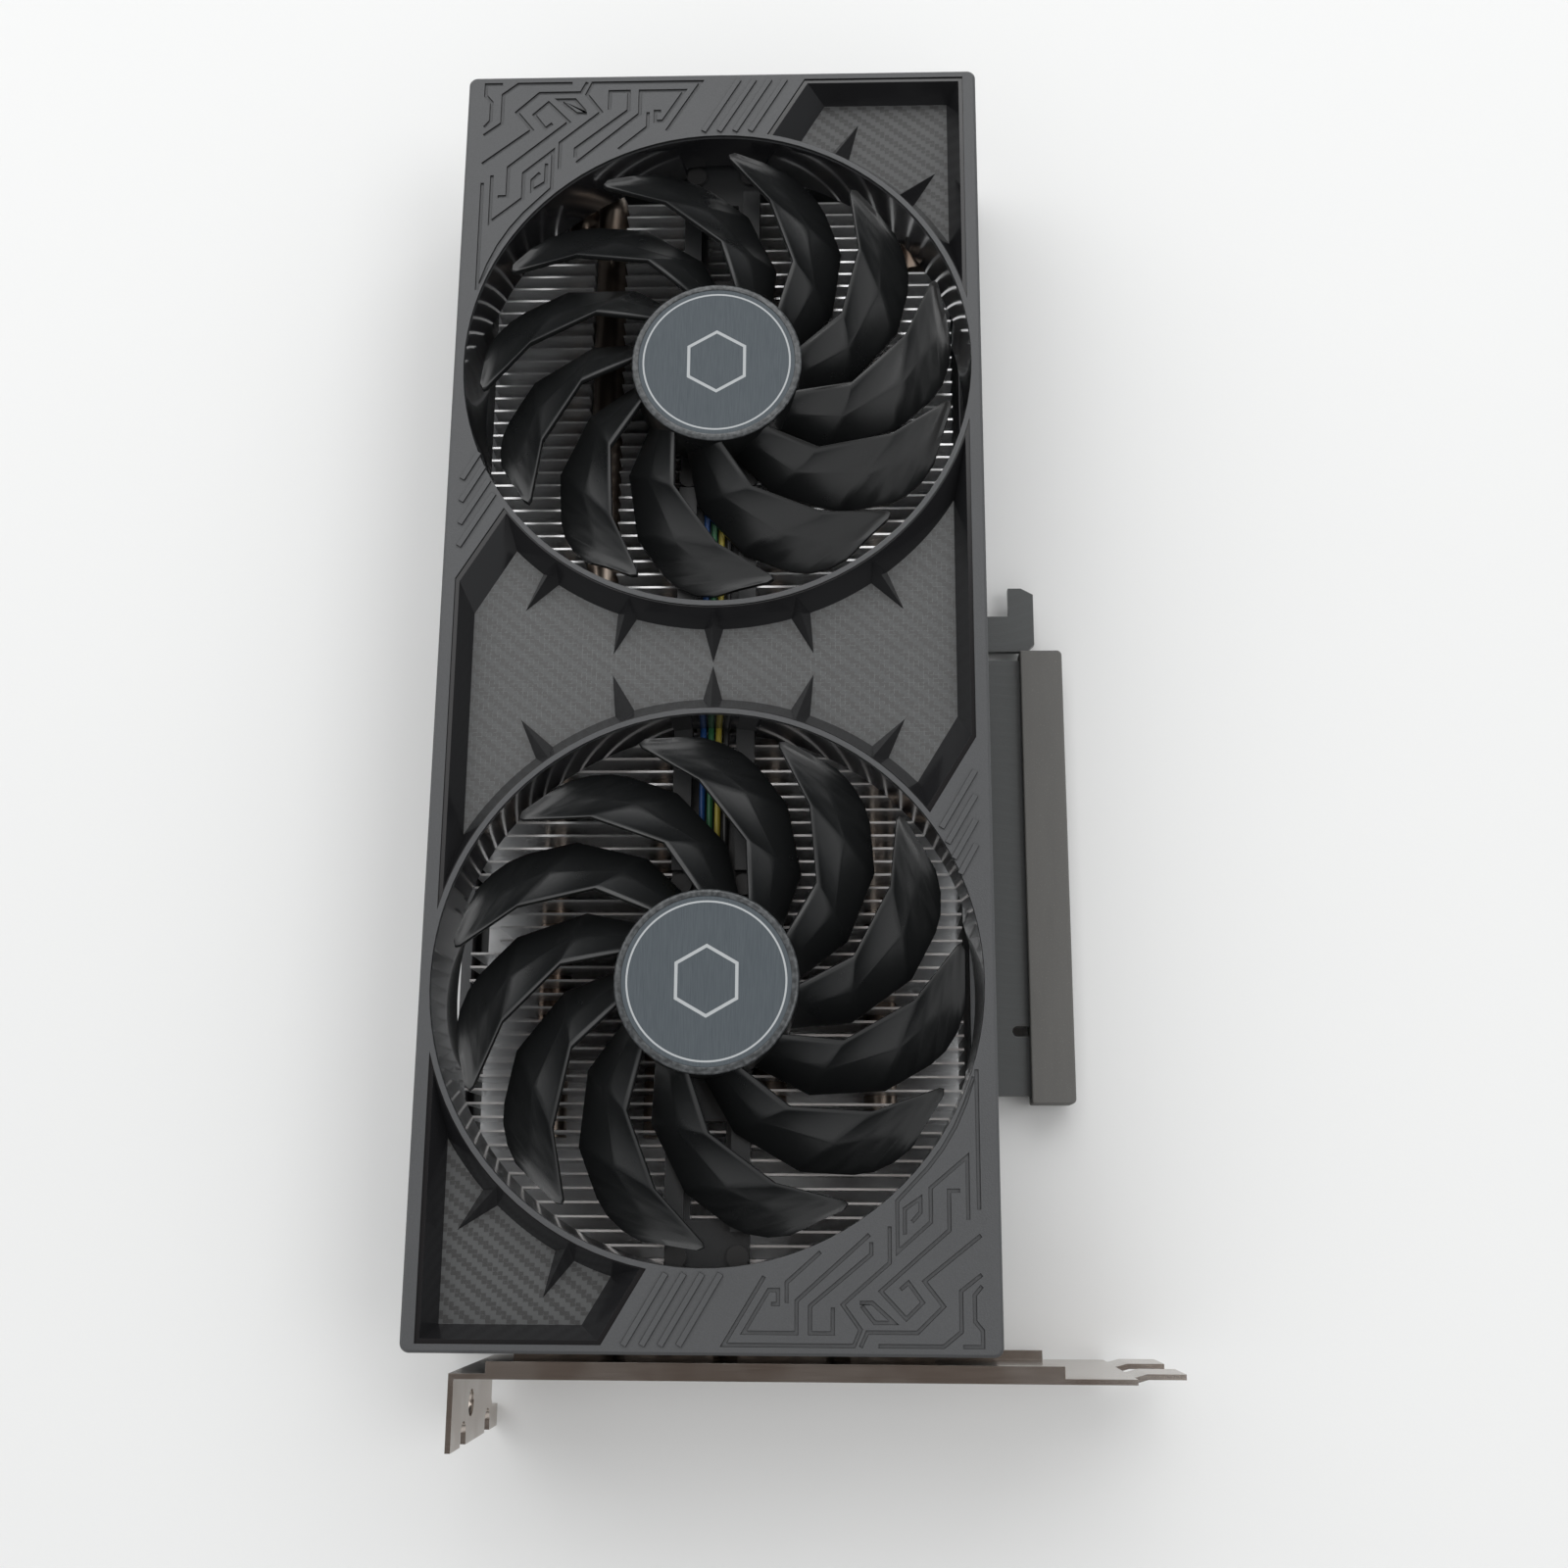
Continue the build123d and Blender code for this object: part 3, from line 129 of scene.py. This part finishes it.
# ---------------------------------------------------------------- materials
class Shader:
    """A node material, with short calls for the patterns that the card's surfaces need."""

    def __init__(self, name, roughness=0.5, metallic=0.0, coat=0.0):
        self.material = bpy.data.materials.new(name)
        self.material.use_nodes = True
        self.tree = self.material.node_tree
        self.surface = self.tree.nodes["Principled BSDF"]
        self.surface.inputs["Roughness"].default_value = roughness
        self.surface.inputs["Metallic"].default_value = metallic
        self.surface.inputs["Coat Weight"].default_value = coat
        self.place = self.node("ShaderNodeTexCoord").outputs["Object"]

    def node(self, kind, **settings):
        made = self.tree.nodes.new(kind)
        for key, value in settings.items():
            setattr(made, key, value)
        return made

    def feed(self, socket, value):
        """Link an output to a socket, or set the socket to a plain value."""
        if isinstance(value, bpy.types.NodeSocket):
            self.tree.links.new(value, socket)
        else:
            socket.default_value = value

    def math(self, operation, first, second=0.0):
        made = self.node("ShaderNodeMath", operation=operation)
        self.feed(made.inputs[0], first)
        self.feed(made.inputs[1], second)
        return made.outputs[0]

    def near(self, value, middle, reach):
        """1 where value is within reach of middle, and 0 elsewhere."""
        made = self.node("ShaderNodeMath", operation="COMPARE")
        self.feed(made.inputs[0], value)
        made.inputs[1].default_value = middle
        made.inputs[2].default_value = reach
        return made.outputs[0]

    def axes(self, centre=(0.0, 0.0, 0.0)):
        """X, Y and Z in metres, measured from a centre."""
        shift = self.node("ShaderNodeVectorMath", operation="SUBTRACT")
        self.feed(shift.inputs[0], self.place)
        shift.inputs[1].default_value = centre
        split = self.node("ShaderNodeSeparateXYZ")
        self.feed(split.inputs[0], shift.outputs[0])
        return split.outputs[0], split.outputs[1], split.outputs[2]

    def noise(self, size, stretch=(1.0, 1.0, 1.0), detail=3.0, roughness=0.5):
        """Noise whose features are about size metres wide, drawn out by stretch along each axis."""
        mapping = self.node("ShaderNodeMapping")
        self.feed(mapping.inputs["Vector"], self.place)
        mapping.inputs["Scale"].default_value = [1.0 / (size * factor) for factor in stretch]
        made = self.node("ShaderNodeTexNoise")
        self.feed(made.inputs["Vector"], mapping.outputs[0])
        made.inputs["Scale"].default_value = 1.0
        made.inputs["Detail"].default_value = detail
        made.inputs["Roughness"].default_value = roughness
        return made.outputs["Fac"]

    def band(self, value, low, high):
        """0 below low, 1 above high, smooth between."""
        made = self.node("ShaderNodeMapRange", interpolation_type="SMOOTHSTEP")
        self.feed(made.inputs["Value"], value)
        made.inputs["From Min"].default_value = low
        made.inputs["From Max"].default_value = high
        return made.outputs[0]

    def between(self, factor, low, high):
        """A number from low to high as factor goes from 0 to 1."""
        made = self.node("ShaderNodeMapRange")
        self.feed(made.inputs["Value"], factor)
        self.feed(made.inputs["To Min"], low)
        self.feed(made.inputs["To Max"], high)
        return made.outputs[0]

    def blend(self, factor, first, second):
        """Colour that goes from first to second with factor."""
        made = self.node("ShaderNodeMix", data_type="RGBA")
        self.feed(made.inputs["Factor"], factor)
        for socket, colour in ((made.inputs[6], first), (made.inputs[7], second)):
            self.feed(socket, colour if isinstance(colour, bpy.types.NodeSocket) else (*colour, 1.0))
        return made.outputs[2]

    def colour(self, value):
        self.feed(self.surface.inputs["Base Color"], value)

    def rough(self, value):
        self.feed(self.surface.inputs["Roughness"], value)

    def bump(self, height, depth):
        """Raise the surface by height, where 1 is depth metres."""
        made = self.node("ShaderNodeBump")
        made.inputs["Distance"].default_value = depth
        self.feed(made.inputs["Height"], height)
        self.feed(self.surface.inputs["Normal"], made.outputs[0])


def shade(colour, factor):
    return tuple(channel * factor for channel in colour)


def moulded_plastic(name, colour, roughness, grain=0.25 * MM, depth=0.02 * MM, spread=0.12):
    """Spark-eroded plastic: fine grain, slow changes of tone and gloss."""
    shader = Shader(name, roughness)
    slow = shader.noise(18 * MM, detail=4.0)
    fine = shader.noise(grain, detail=2.0)
    tone = shader.math("ADD", shader.math("MULTIPLY", slow, 0.6), shader.math("MULTIPLY", fine, 0.4))
    shader.colour(shader.blend(tone, shade(colour, 1 - spread), shade(colour, 1 + spread)))
    shader.rough(shader.between(slow, roughness - 0.06, roughness + 0.06))
    shader.bump(fine, depth)
    return shader.material


def gloss_plastic(name, colour, roughness):
    """Polished black plastic with faint moulding ripple and dust."""
    shader = Shader(name, roughness, coat=0.4)
    ripple = shader.noise(6 * MM, detail=2.0)
    dust = shader.band(shader.noise(0.5 * MM, detail=5.0, roughness=0.7), 0.66, 0.8)
    shader.colour(shader.blend(dust, colour, shade(colour, 4.0)))
    shader.rough(shader.between(ripple, roughness - 0.03, roughness + 0.05))
    shader.bump(ripple, 0.02 * MM)
    return shader.material


def brushed_metal(name, colour, roughness, grain=(60.0, 1.0, 1.0), spread=0.08, stain=None, metallic=1.0):
    """Rolled or brushed metal: fine lines along one axis, and slow stains."""
    shader = Shader(name, roughness, metallic)
    lines = shader.noise(0.12 * MM, stretch=grain, detail=3.0)
    slow = shader.noise(14 * MM, detail=3.0)
    clean = shader.blend(lines, shade(colour, 1 - spread), shade(colour, 1 + spread))
    patches = shader.band(slow, 0.42, 0.62)
    shader.colour(shader.blend(patches, clean, stain or shade(colour, 0.9)))
    shader.rough(shader.between(lines, roughness - 0.05, roughness + 0.08))
    shader.bump(lines, 0.004 * MM)
    return shader.material


def floor_material():
    shader = Shader("table", 0.6)
    slow = shader.noise(0.25, detail=3.0)
    fine = shader.noise(0.6 * MM, detail=3.0)
    shader.colour(shader.blend(slow, (0.80, 0.805, 0.80), (0.83, 0.835, 0.83)))
    shader.rough(shader.between(fine, 0.5, 0.65))
    shader.bump(fine, 0.01 * MM)
    return shader.material


def add_floor():
    mesh = bpy.data.meshes.new("table")
    corners = [(x * TABLE_REACH, y * TABLE_REACH, 0) for x, y in ((-1, -1), (1, -1), (1, 1), (-1, 1))]
    mesh.from_pydata(corners, [], [(0, 1, 2, 3)])
    table = bpy.data.objects.new("table", mesh)
    table.data.materials.append(floor_material())
    bpy.context.scene.collection.objects.link(table)


INSERT_THICKNESS = 1.6 * MM
FLAT_NORMAL = 0.98  # an upward normal longer than this belongs to a flat floor


def insert_floor_mask(shader, node):
    """1 on the flat floor of a recess insert, 0 on its walls and spikes."""
    floor_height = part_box(node)[0].z + INSERT_THICKNESS
    height = shader.axes()[2]
    normal = shader.node("ShaderNodeNewGeometry").outputs["Normal"]
    split = shader.node("ShaderNodeSeparateXYZ")
    shader.feed(split.inputs[0], normal)
    low = shader.math("LESS_THAN", height, floor_height + 0.06 * MM)
    flat = shader.math("GREATER_THAN", split.outputs[2], FLAT_NORMAL)
    return shader.math("MULTIPLY", low, flat)


GLOSS_BLACK = (0.011, 0.011, 0.012)
TOW_ACROSS = 0.88 * MM  # one step of the twill along X
TOW_ALONG = 0.70 * MM  # one step of the twill along Y
FIBRE = 0.07 * MM
SEAM_HALF = 0.07  # part of a step


def twill_insert(name, node, weft_tone, warp_tone, seam_tone):
    """Gloss black insert whose floor has a stepped two-tone carbon twill with pale seams."""
    shader = Shader(name, 0.2, coat=0.1)
    mask = insert_floor_mask(shader, node)
    x, y, _ = shader.axes()
    across = shader.math("DIVIDE", x, TOW_ACROSS)
    along = shader.math("DIVIDE", y, TOW_ALONG)
    steps = shader.math("ADD", shader.math("FLOOR", across), shader.math("FLOOR", along))
    warp = shader.math("LESS_THAN", shader.math("FLOORED_MODULO", steps, 4.0), 2.0)
    weft_fibre = shader.noise(FIBRE, stretch=(10.0, 1.0, 1.0))
    warp_fibre = shader.noise(FIBRE, stretch=(1.0, 10.0, 1.0))
    fibre = shader.between(warp, weft_fibre, warp_fibre)
    weave = shader.blend(warp, (weft_tone,) * 3, (warp_tone, warp_tone * 1.04, warp_tone * 1.05))
    weave = shader.blend(shader.band(fibre, 0.5, 1.0), weave, (warp_tone * 1.35,) * 3)
    near_edge = shader.math("PINGPONG", across, 0.5)
    near_step = shader.math("PINGPONG", along, 0.5)
    seam = shader.math("LESS_THAN", shader.math("MINIMUM", near_edge, near_step), SEAM_HALF)
    broken = shader.math("MULTIPLY", seam, shader.band(shader.noise(0.5 * MM), 0.45, 0.6))
    weave = shader.blend(broken, weave, (seam_tone, seam_tone * 1.04, seam_tone * 1.05))
    shader.colour(shader.blend(mask, GLOSS_BLACK, weave))
    shader.rough(shader.between(mask, 0.16, 0.5))
    swell = shader.math("ADD", shader.math("MULTIPLY", near_edge, shader.between(warp, 0.5, 2.0)), fibre)
    shader.bump(shader.math("MULTIPLY", swell, mask), 0.02 * MM)
    return shader.material


RING_RADIUS = 13.65 * MM
RING_HALF = 0.16 * MM
HEXAGON_RADIUS = 5.2 * MM  # from the centre to the middle of a side
HEXAGON_HALF = 0.28 * MM
HEXAGON_SIDE = math.pi / 3


def badge_material(name, node):
    """Brushed blue-grey foil with one silver ring and a plain hexagon line in the middle."""
    low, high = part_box(node)
    centre = (low + high) / 2
    shader = Shader(name, 0.45)
    shader.surface.inputs["Specular IOR Level"].default_value = 0.12
    x, y, _ = shader.axes(centre)
    square = shader.math("ADD", shader.math("MULTIPLY", x, x), shader.math("MULTIPLY", y, y))
    radius = shader.math("SQRT", square)
    ring = shader.near(radius, RING_RADIUS, RING_HALF)
    angle = shader.math("ARCTAN2", y, x)
    sector = shader.math("FLOORED_MODULO", shader.math("ADD", angle, HEXAGON_SIDE / 2), HEXAGON_SIDE)
    bent = shader.math("COSINE", shader.math("SUBTRACT", sector, HEXAGON_SIDE / 2))
    hexagon = shader.near(shader.math("MULTIPLY", radius, bent), HEXAGON_RADIUS, HEXAGON_HALF)
    lines = shader.noise(0.12 * MM, stretch=(1.0, 30.0, 1.0), detail=3.0)
    slow = shader.noise(8 * MM, detail=2.0)
    foil = shader.blend(lines, (0.056, 0.068, 0.078), (0.108, 0.124, 0.136))
    print_mask = shader.math("MAXIMUM", ring, hexagon)
    shader.colour(shader.blend(print_mask, foil, (0.42, 0.44, 0.45)))
    shader.rough(shader.between(slow, 0.4, 0.5))
    shader.bump(lines, 0.003 * MM)
    return shader.material


LEAD_COLOURS = [(0.010, 0.055, 0.19), (0.020, 0.115, 0.045), (0.33, 0.27, 0.035), (0.012, 0.012, 0.012)]


def lead_material(name, node):
    """Four wire colours, one for each lead, side by side across X."""
    low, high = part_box(node)
    shader = Shader(name, 0.42)
    x = shader.axes(low)[0]
    index = shader.math("FLOOR", shader.math("DIVIDE", x, (high.x - low.x) / len(LEAD_COLOURS)))
    shine = shader.noise(0.8 * MM, detail=2.0)
    tone = shader.blend(shine, shade(LEAD_COLOURS[0], 0.8), shade(LEAD_COLOURS[0], 1.2))
    for step, colour in enumerate(LEAD_COLOURS[1:], start=1):
        reached = shader.math("GREATER_THAN", index, step - 0.5)
        tone = shader.blend(reached, tone, colour)
    shader.colour(tone)
    shader.bump(shine, 0.01 * MM)
    return shader.material


def board_material():
    """Black solder mask over buried traces that show as faint curved ridges."""
    shader = Shader("solder_mask", 0.36, coat=0.25)
    waves = shader.node("ShaderNodeTexWave", bands_direction="Y")
    shader.feed(waves.inputs["Vector"], shader.place)
    waves.inputs["Scale"].default_value = 130.0
    waves.inputs["Distortion"].default_value = 16.0
    waves.inputs["Detail"].default_value = 1.0
    waves.inputs["Detail Scale"].default_value = 0.22
    trace = shader.band(waves.outputs["Fac"], 0.72, 0.86)
    fine = shader.noise(0.3 * MM, detail=3.0)
    mask = shader.blend(fine, (0.058, 0.062, 0.063), (0.074, 0.079, 0.080))
    shader.colour(shader.blend(trace, mask, (0.068, 0.073, 0.074)))
    shader.rough(shader.between(fine, 0.3, 0.44))
    shader.bump(shader.math("ADD", trace, fine), 0.006 * MM)
    return shader.material


SHROUD_GREY = (0.063, 0.065, 0.068)
SHROUD_BORDER = (1.6 * MM, 1.2 * MM)  # the face's own rim along X and Y, which keeps its colour and gets no painted shade
LINE_DEPTH = 0.9 * MM
STEEP_NORMAL = 0.93


def shroud_material():
    """Grained grey plastic; the steep sides of lines and ribs in the face get painted shade, a near-black
    grey standing in for their shadow.
    """
    low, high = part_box("shroud")
    shader = Shader("shroud_grey", 0.5)
    x, y, height = shader.axes((low + high) / 2)
    normal = shader.node("ShaderNodeNewGeometry").outputs["Normal"]
    split = shader.node("ShaderNodeSeparateXYZ")
    shader.feed(split.inputs[0], normal)
    steep = shader.math("LESS_THAN", split.outputs[2], STEEP_NORMAL)
    inner_x = shader.math("LESS_THAN", shader.math("ABSOLUTE", x), (high.x - low.x) / 2 - SHROUD_BORDER[0])
    inner_y = shader.math("LESS_THAN", shader.math("ABSOLUTE", y), (high.y - low.y) / 2 - SHROUD_BORDER[1])
    upper = shader.math("GREATER_THAN", height, (high.z - low.z) / 2 - LINE_DEPTH)
    inner = shader.math("MULTIPLY", inner_x, inner_y)
    # Painted shade mask: steep walls within 0.9 mm of the face's top, inside its rim.
    edge = shader.math("MULTIPLY", shader.math("MULTIPLY", steep, upper), inner)
    slow = shader.noise(25 * MM, detail=4.0)
    fine = shader.noise(0.26 * MM, detail=2.5, roughness=0.6)
    tone = shader.math("ADD", shader.math("MULTIPLY", slow, 0.35), shader.math("MULTIPLY", fine, 0.65))
    grain = shader.blend(tone, shade(SHROUD_GREY, 0.72), shade(SHROUD_GREY, 1.28))
    # Painted shade: those walls are coloured 0.16 times the grey, as if in shadow.
    shader.colour(shader.blend(edge, grain, shade(SHROUD_GREY, 0.16)))
    shader.rough(shader.between(slow, 0.42, 0.56))
    shader.bump(fine, 0.05 * MM)
    return shader.material


RIM_DEPTH = 0.35 * MM


def fan_material(name, node):
    """Satin black with a fine grain; the rim around the hub's foil, the rotor's top 0.35 mm, is a lighter
    mottled grey.
    """
    rim_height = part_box(node)[1].z - RIM_DEPTH
    shader = Shader(name, 0.34)
    rim = shader.math("GREATER_THAN", shader.axes()[2], rim_height)
    fine = shader.noise(0.17 * MM, detail=2.5, roughness=0.6)
    slow = shader.noise(7 * MM, detail=3.0)
    mottle = shader.noise(0.9 * MM, detail=4.0)
    blade = shader.blend(fine, (0.0038, 0.0043, 0.0045), (0.0120, 0.0128, 0.0132))
    # The rotor's top 0.35 mm, around the foil, is coloured a lighter mottled grey.
    rim_grey = shader.blend(shader.band(mottle, 0.35, 0.7), (0.032, 0.035, 0.037), (0.090, 0.096, 0.100))
    shader.colour(shader.blend(rim, blade, rim_grey))
    shader.rough(shader.between(slow, 0.24, 0.34))
    shader.bump(fine, 0.013 * MM)
    return shader.material


def cap_material():
    """Soft dark plastic with pale specks and a drawn-out flow grain."""
    shader = Shader("cap_plastic", 0.62)
    specks = shader.band(shader.noise(0.22 * MM, detail=4.0, roughness=0.7), 0.6, 0.74)
    flow = shader.noise(2.5 * MM, stretch=(1.0, 6.0, 1.0), detail=3.0)
    base = shader.blend(flow, (0.100, 0.098, 0.092), (0.132, 0.129, 0.122))
    shader.colour(shader.blend(specks, base, (0.26, 0.255, 0.24)))
    shader.rough(shader.between(flow, 0.52, 0.7))
    shader.bump(shader.math("ADD", specks, flow), 0.02 * MM)
    return shader.material


def chip_material(name, colour, roughness=0.5):
    return moulded_plastic(name, colour, roughness, grain=0.12 * MM, depth=0.012 * MM, spread=0.18)


def dress(material, *names):
    """Give CAD nodes or pieces one material."""
    for name in names:
        target = nodes.get(name) if isinstance(name, str) else name
        target.data.materials.clear()
        target.data.materials.append(material)


# ---------------------------------------------------------------- finer copies of CAD shapes
MERGE_DISTANCE = 0.002 * MM
FLAT_ANGLE = math.radians(0.6)  # faces that meet at less than this become one


def refined(node, body, width, angle=30.0, segments=2, crisp=50.0, even=True):
    """Copy of a CAD node with merged faces and small rounded edges, standing in for the node.

    even keeps large flat faces flat in shading; a curved shape is smoother without it.
    """
    source = nodes[node]
    mesh = source.data.copy()
    mesh.name = node + "_skin"
    piece = bpy.data.objects.new(node + "_skin", mesh)
    bpy.context.scene.collection.objects.link(piece)
    shape = bmesh.new()
    shape.from_mesh(mesh)
    bmesh.ops.remove_doubles(shape, verts=shape.verts, dist=MERGE_DISTANCE)
    bmesh.ops.dissolve_limit(shape, angle_limit=FLAT_ANGLE, verts=shape.verts, edges=shape.edges)
    shape.to_mesh(mesh)
    shape.free()
    bevel = piece.modifiers.new("rounding", "BEVEL")
    bevel.width = width
    bevel.segments = segments
    bevel.limit_method = "ANGLE"
    bevel.angle_limit = math.radians(angle)
    bevel.use_clamp_overlap = True
    apply_modifiers(piece)
    smooth(piece, crisp)
    if even:
        weigh = piece.modifiers.new("even_shading", "WEIGHTED_NORMAL")
        weigh.keep_sharp = True
        weigh.weight = 80
        apply_modifiers(piece)
    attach(piece, body)
    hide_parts(node)
    return piece


def apply_modifiers(piece):
    """Bake a piece's modifiers into its mesh."""
    bpy.context.view_layer.update()
    evaluated = piece.evaluated_get(bpy.context.evaluated_depsgraph_get())
    baked = bpy.data.meshes.new_from_object(evaluated)
    piece.modifiers.clear()
    piece.data = baked


def smooth(piece, angle):
    """Smooth shading, with edges sharper than angle kept crisp."""
    shape = bmesh.new()
    shape.from_mesh(piece.data)
    for face in shape.faces:
        face.smooth = True
    for edge in shape.edges:
        edge.smooth = len(edge.link_faces) == 2 and edge.calc_face_angle(0.0) < math.radians(angle)
    shape.to_mesh(piece.data)
    shape.free()


add_camera()
add_lights()
add_floor()

# ---------------------------------------------------------------- dressing the card
frame_black = moulded_plastic("frame_black", (0.020, 0.021, 0.022), 0.42)
duct_black = gloss_plastic("duct_black", GLOSS_BLACK, 0.12)
nickel = brushed_metal("bracket_nickel", (0.50, 0.465, 0.43), 0.2, stain=(0.40, 0.35, 0.31))
fin_metal = brushed_metal(
    "fin_aluminium", (0.95, 0.955, 0.96), 0.28, spread=0.03, stain=(0.91, 0.915, 0.92), metallic=0.85
)
base_metal = brushed_metal("base_aluminium", (0.93, 0.935, 0.94), 0.5, spread=0.03, metallic=0.35)
pipe_metal = brushed_metal(
    "pipe_nickel", (0.30, 0.25, 0.21), 0.3, grain=(1.0, 60.0, 1.0), stain=(0.21, 0.155, 0.12)
)
copper = brushed_metal("copper", (0.72, 0.38, 0.22), 0.35)
screw_metal = brushed_metal("screw_zinc", (0.42, 0.42, 0.43), 0.35, grain=(1.0, 1.0, 1.0))
black_steel = chip_material("black_oxide", (0.02, 0.02, 0.02), 0.4)
gold = brushed_metal("contact_gold", (0.85, 0.62, 0.25), 0.26)

skin = refined("shroud", "card", 0.13 * MM)
dress(shroud_material(), skin)
# Painted light: the same weave is coloured 0.9 times as bright on the far insert and 1.15 times on the
# near one, a shaded and a lit copy.
for end, tone in (("far", 0.9), ("near", 1.15)):
    skin = refined(f"recess_insert_{end}", "card", 0.1 * MM, angle=25.0)
    painted_light_tones = shade((0.027, 0.058, 0.056), tone)
    dress(twill_insert(f"twill_{end}", f"recess_insert_{end}", *painted_light_tones), skin)
skin = refined("recess_insert_middle", "card", 0.1 * MM, angle=25.0)
dress(twill_insert("twill_middle", "recess_insert_middle", 0.062, 0.074, 0.108), skin)

skin = refined("bracket", "card", 0.18 * MM)
dress(nickel, skin)
skin = refined("connector_cap", "cap", 0.35 * MM, segments=3)
dress(cap_material(), skin)
skin = refined("circuit_board", "card", 0.1 * MM)
dress(board_material(), skin)
for end in ("near", "far"):
    skin = refined(f"fan_rotor_{end}", f"{end}_rotor", 0.22 * MM, angle=38.0, crisp=60.0, even=False)
    dress(fan_material(f"fan_black_{end}", f"fan_rotor_{end}"), skin)
    dress(badge_material(f"badge_foil_{end}", f"hub_badge_{end}"), f"hub_badge_{end}")
    dress(duct_black, f"fan_duct_{end}")
    dress(frame_black, refined(f"fan_frame_{end}", "card", 0.2 * MM))
    dress(lead_material(f"lead_colours_{end}", f"fan_leads_{end}"), f"fan_leads_{end}")
    dress(fin_metal, f"fin_stack_{end}")
    dress(base_metal, f"heatsink_base_{end}")
    dress(screw_metal, f"fan_shaft_{end}")
    dress(chip_material(f"ferrite_{end}", (0.06, 0.06, 0.062)), f"magnet_ring_{end}")
    dress(copper, f"fan_stator_{end}")
    dress(gold, f"fan_bearing_{end}")
    dress(black_steel, f"fan_screws_{end}")
dress(pipe_metal, "heatpipe_left", "heatpipe_right", "heatpipes_inner")
dress(copper, "cold_plate")
dress(nickel, "display_port_1", "display_port_2", "display_port_3", "hdmi_port")
dress(screw_metal, "bracket_screws", "cooler_screws", "screw_springs")
dress(black_steel, "backplate_screws")
dress(gold, "edge_contacts", "power_pins")
dress(chip_material("package_green", (0.02, 0.05, 0.03)), "gpu_package")
dress(brushed_metal("silicon", (0.30, 0.32, 0.38), 0.12), "gpu_die")
dress(chip_material("epoxy_black", (0.022, 0.022, 0.023)), "memory_chips", "power_stages")
dress(chip_material("silicone_pad", (0.32, 0.38, 0.48), 0.75), "thermal_pads")
dress(chip_material("choke_grey", (0.10, 0.10, 0.105), 0.6), "chokes")
dress(brushed_metal("can_aluminium", (0.68, 0.68, 0.69), 0.3, grain=(1.0, 1.0, 1.0)), "capacitors")
dress(chip_material("nylon_black", (0.02, 0.02, 0.021), 0.42), "power_connector", "port_insulators")
dress(chip_material("nylon_white", (0.62, 0.61, 0.57), 0.5), "fan_headers", "fan_plugs")
skin = refined("backplate", "card", 0.15 * MM)
dress(moulded_plastic("powder_black", (0.03, 0.03, 0.032), 0.5, grain=0.3 * MM, depth=0.02 * MM), skin)
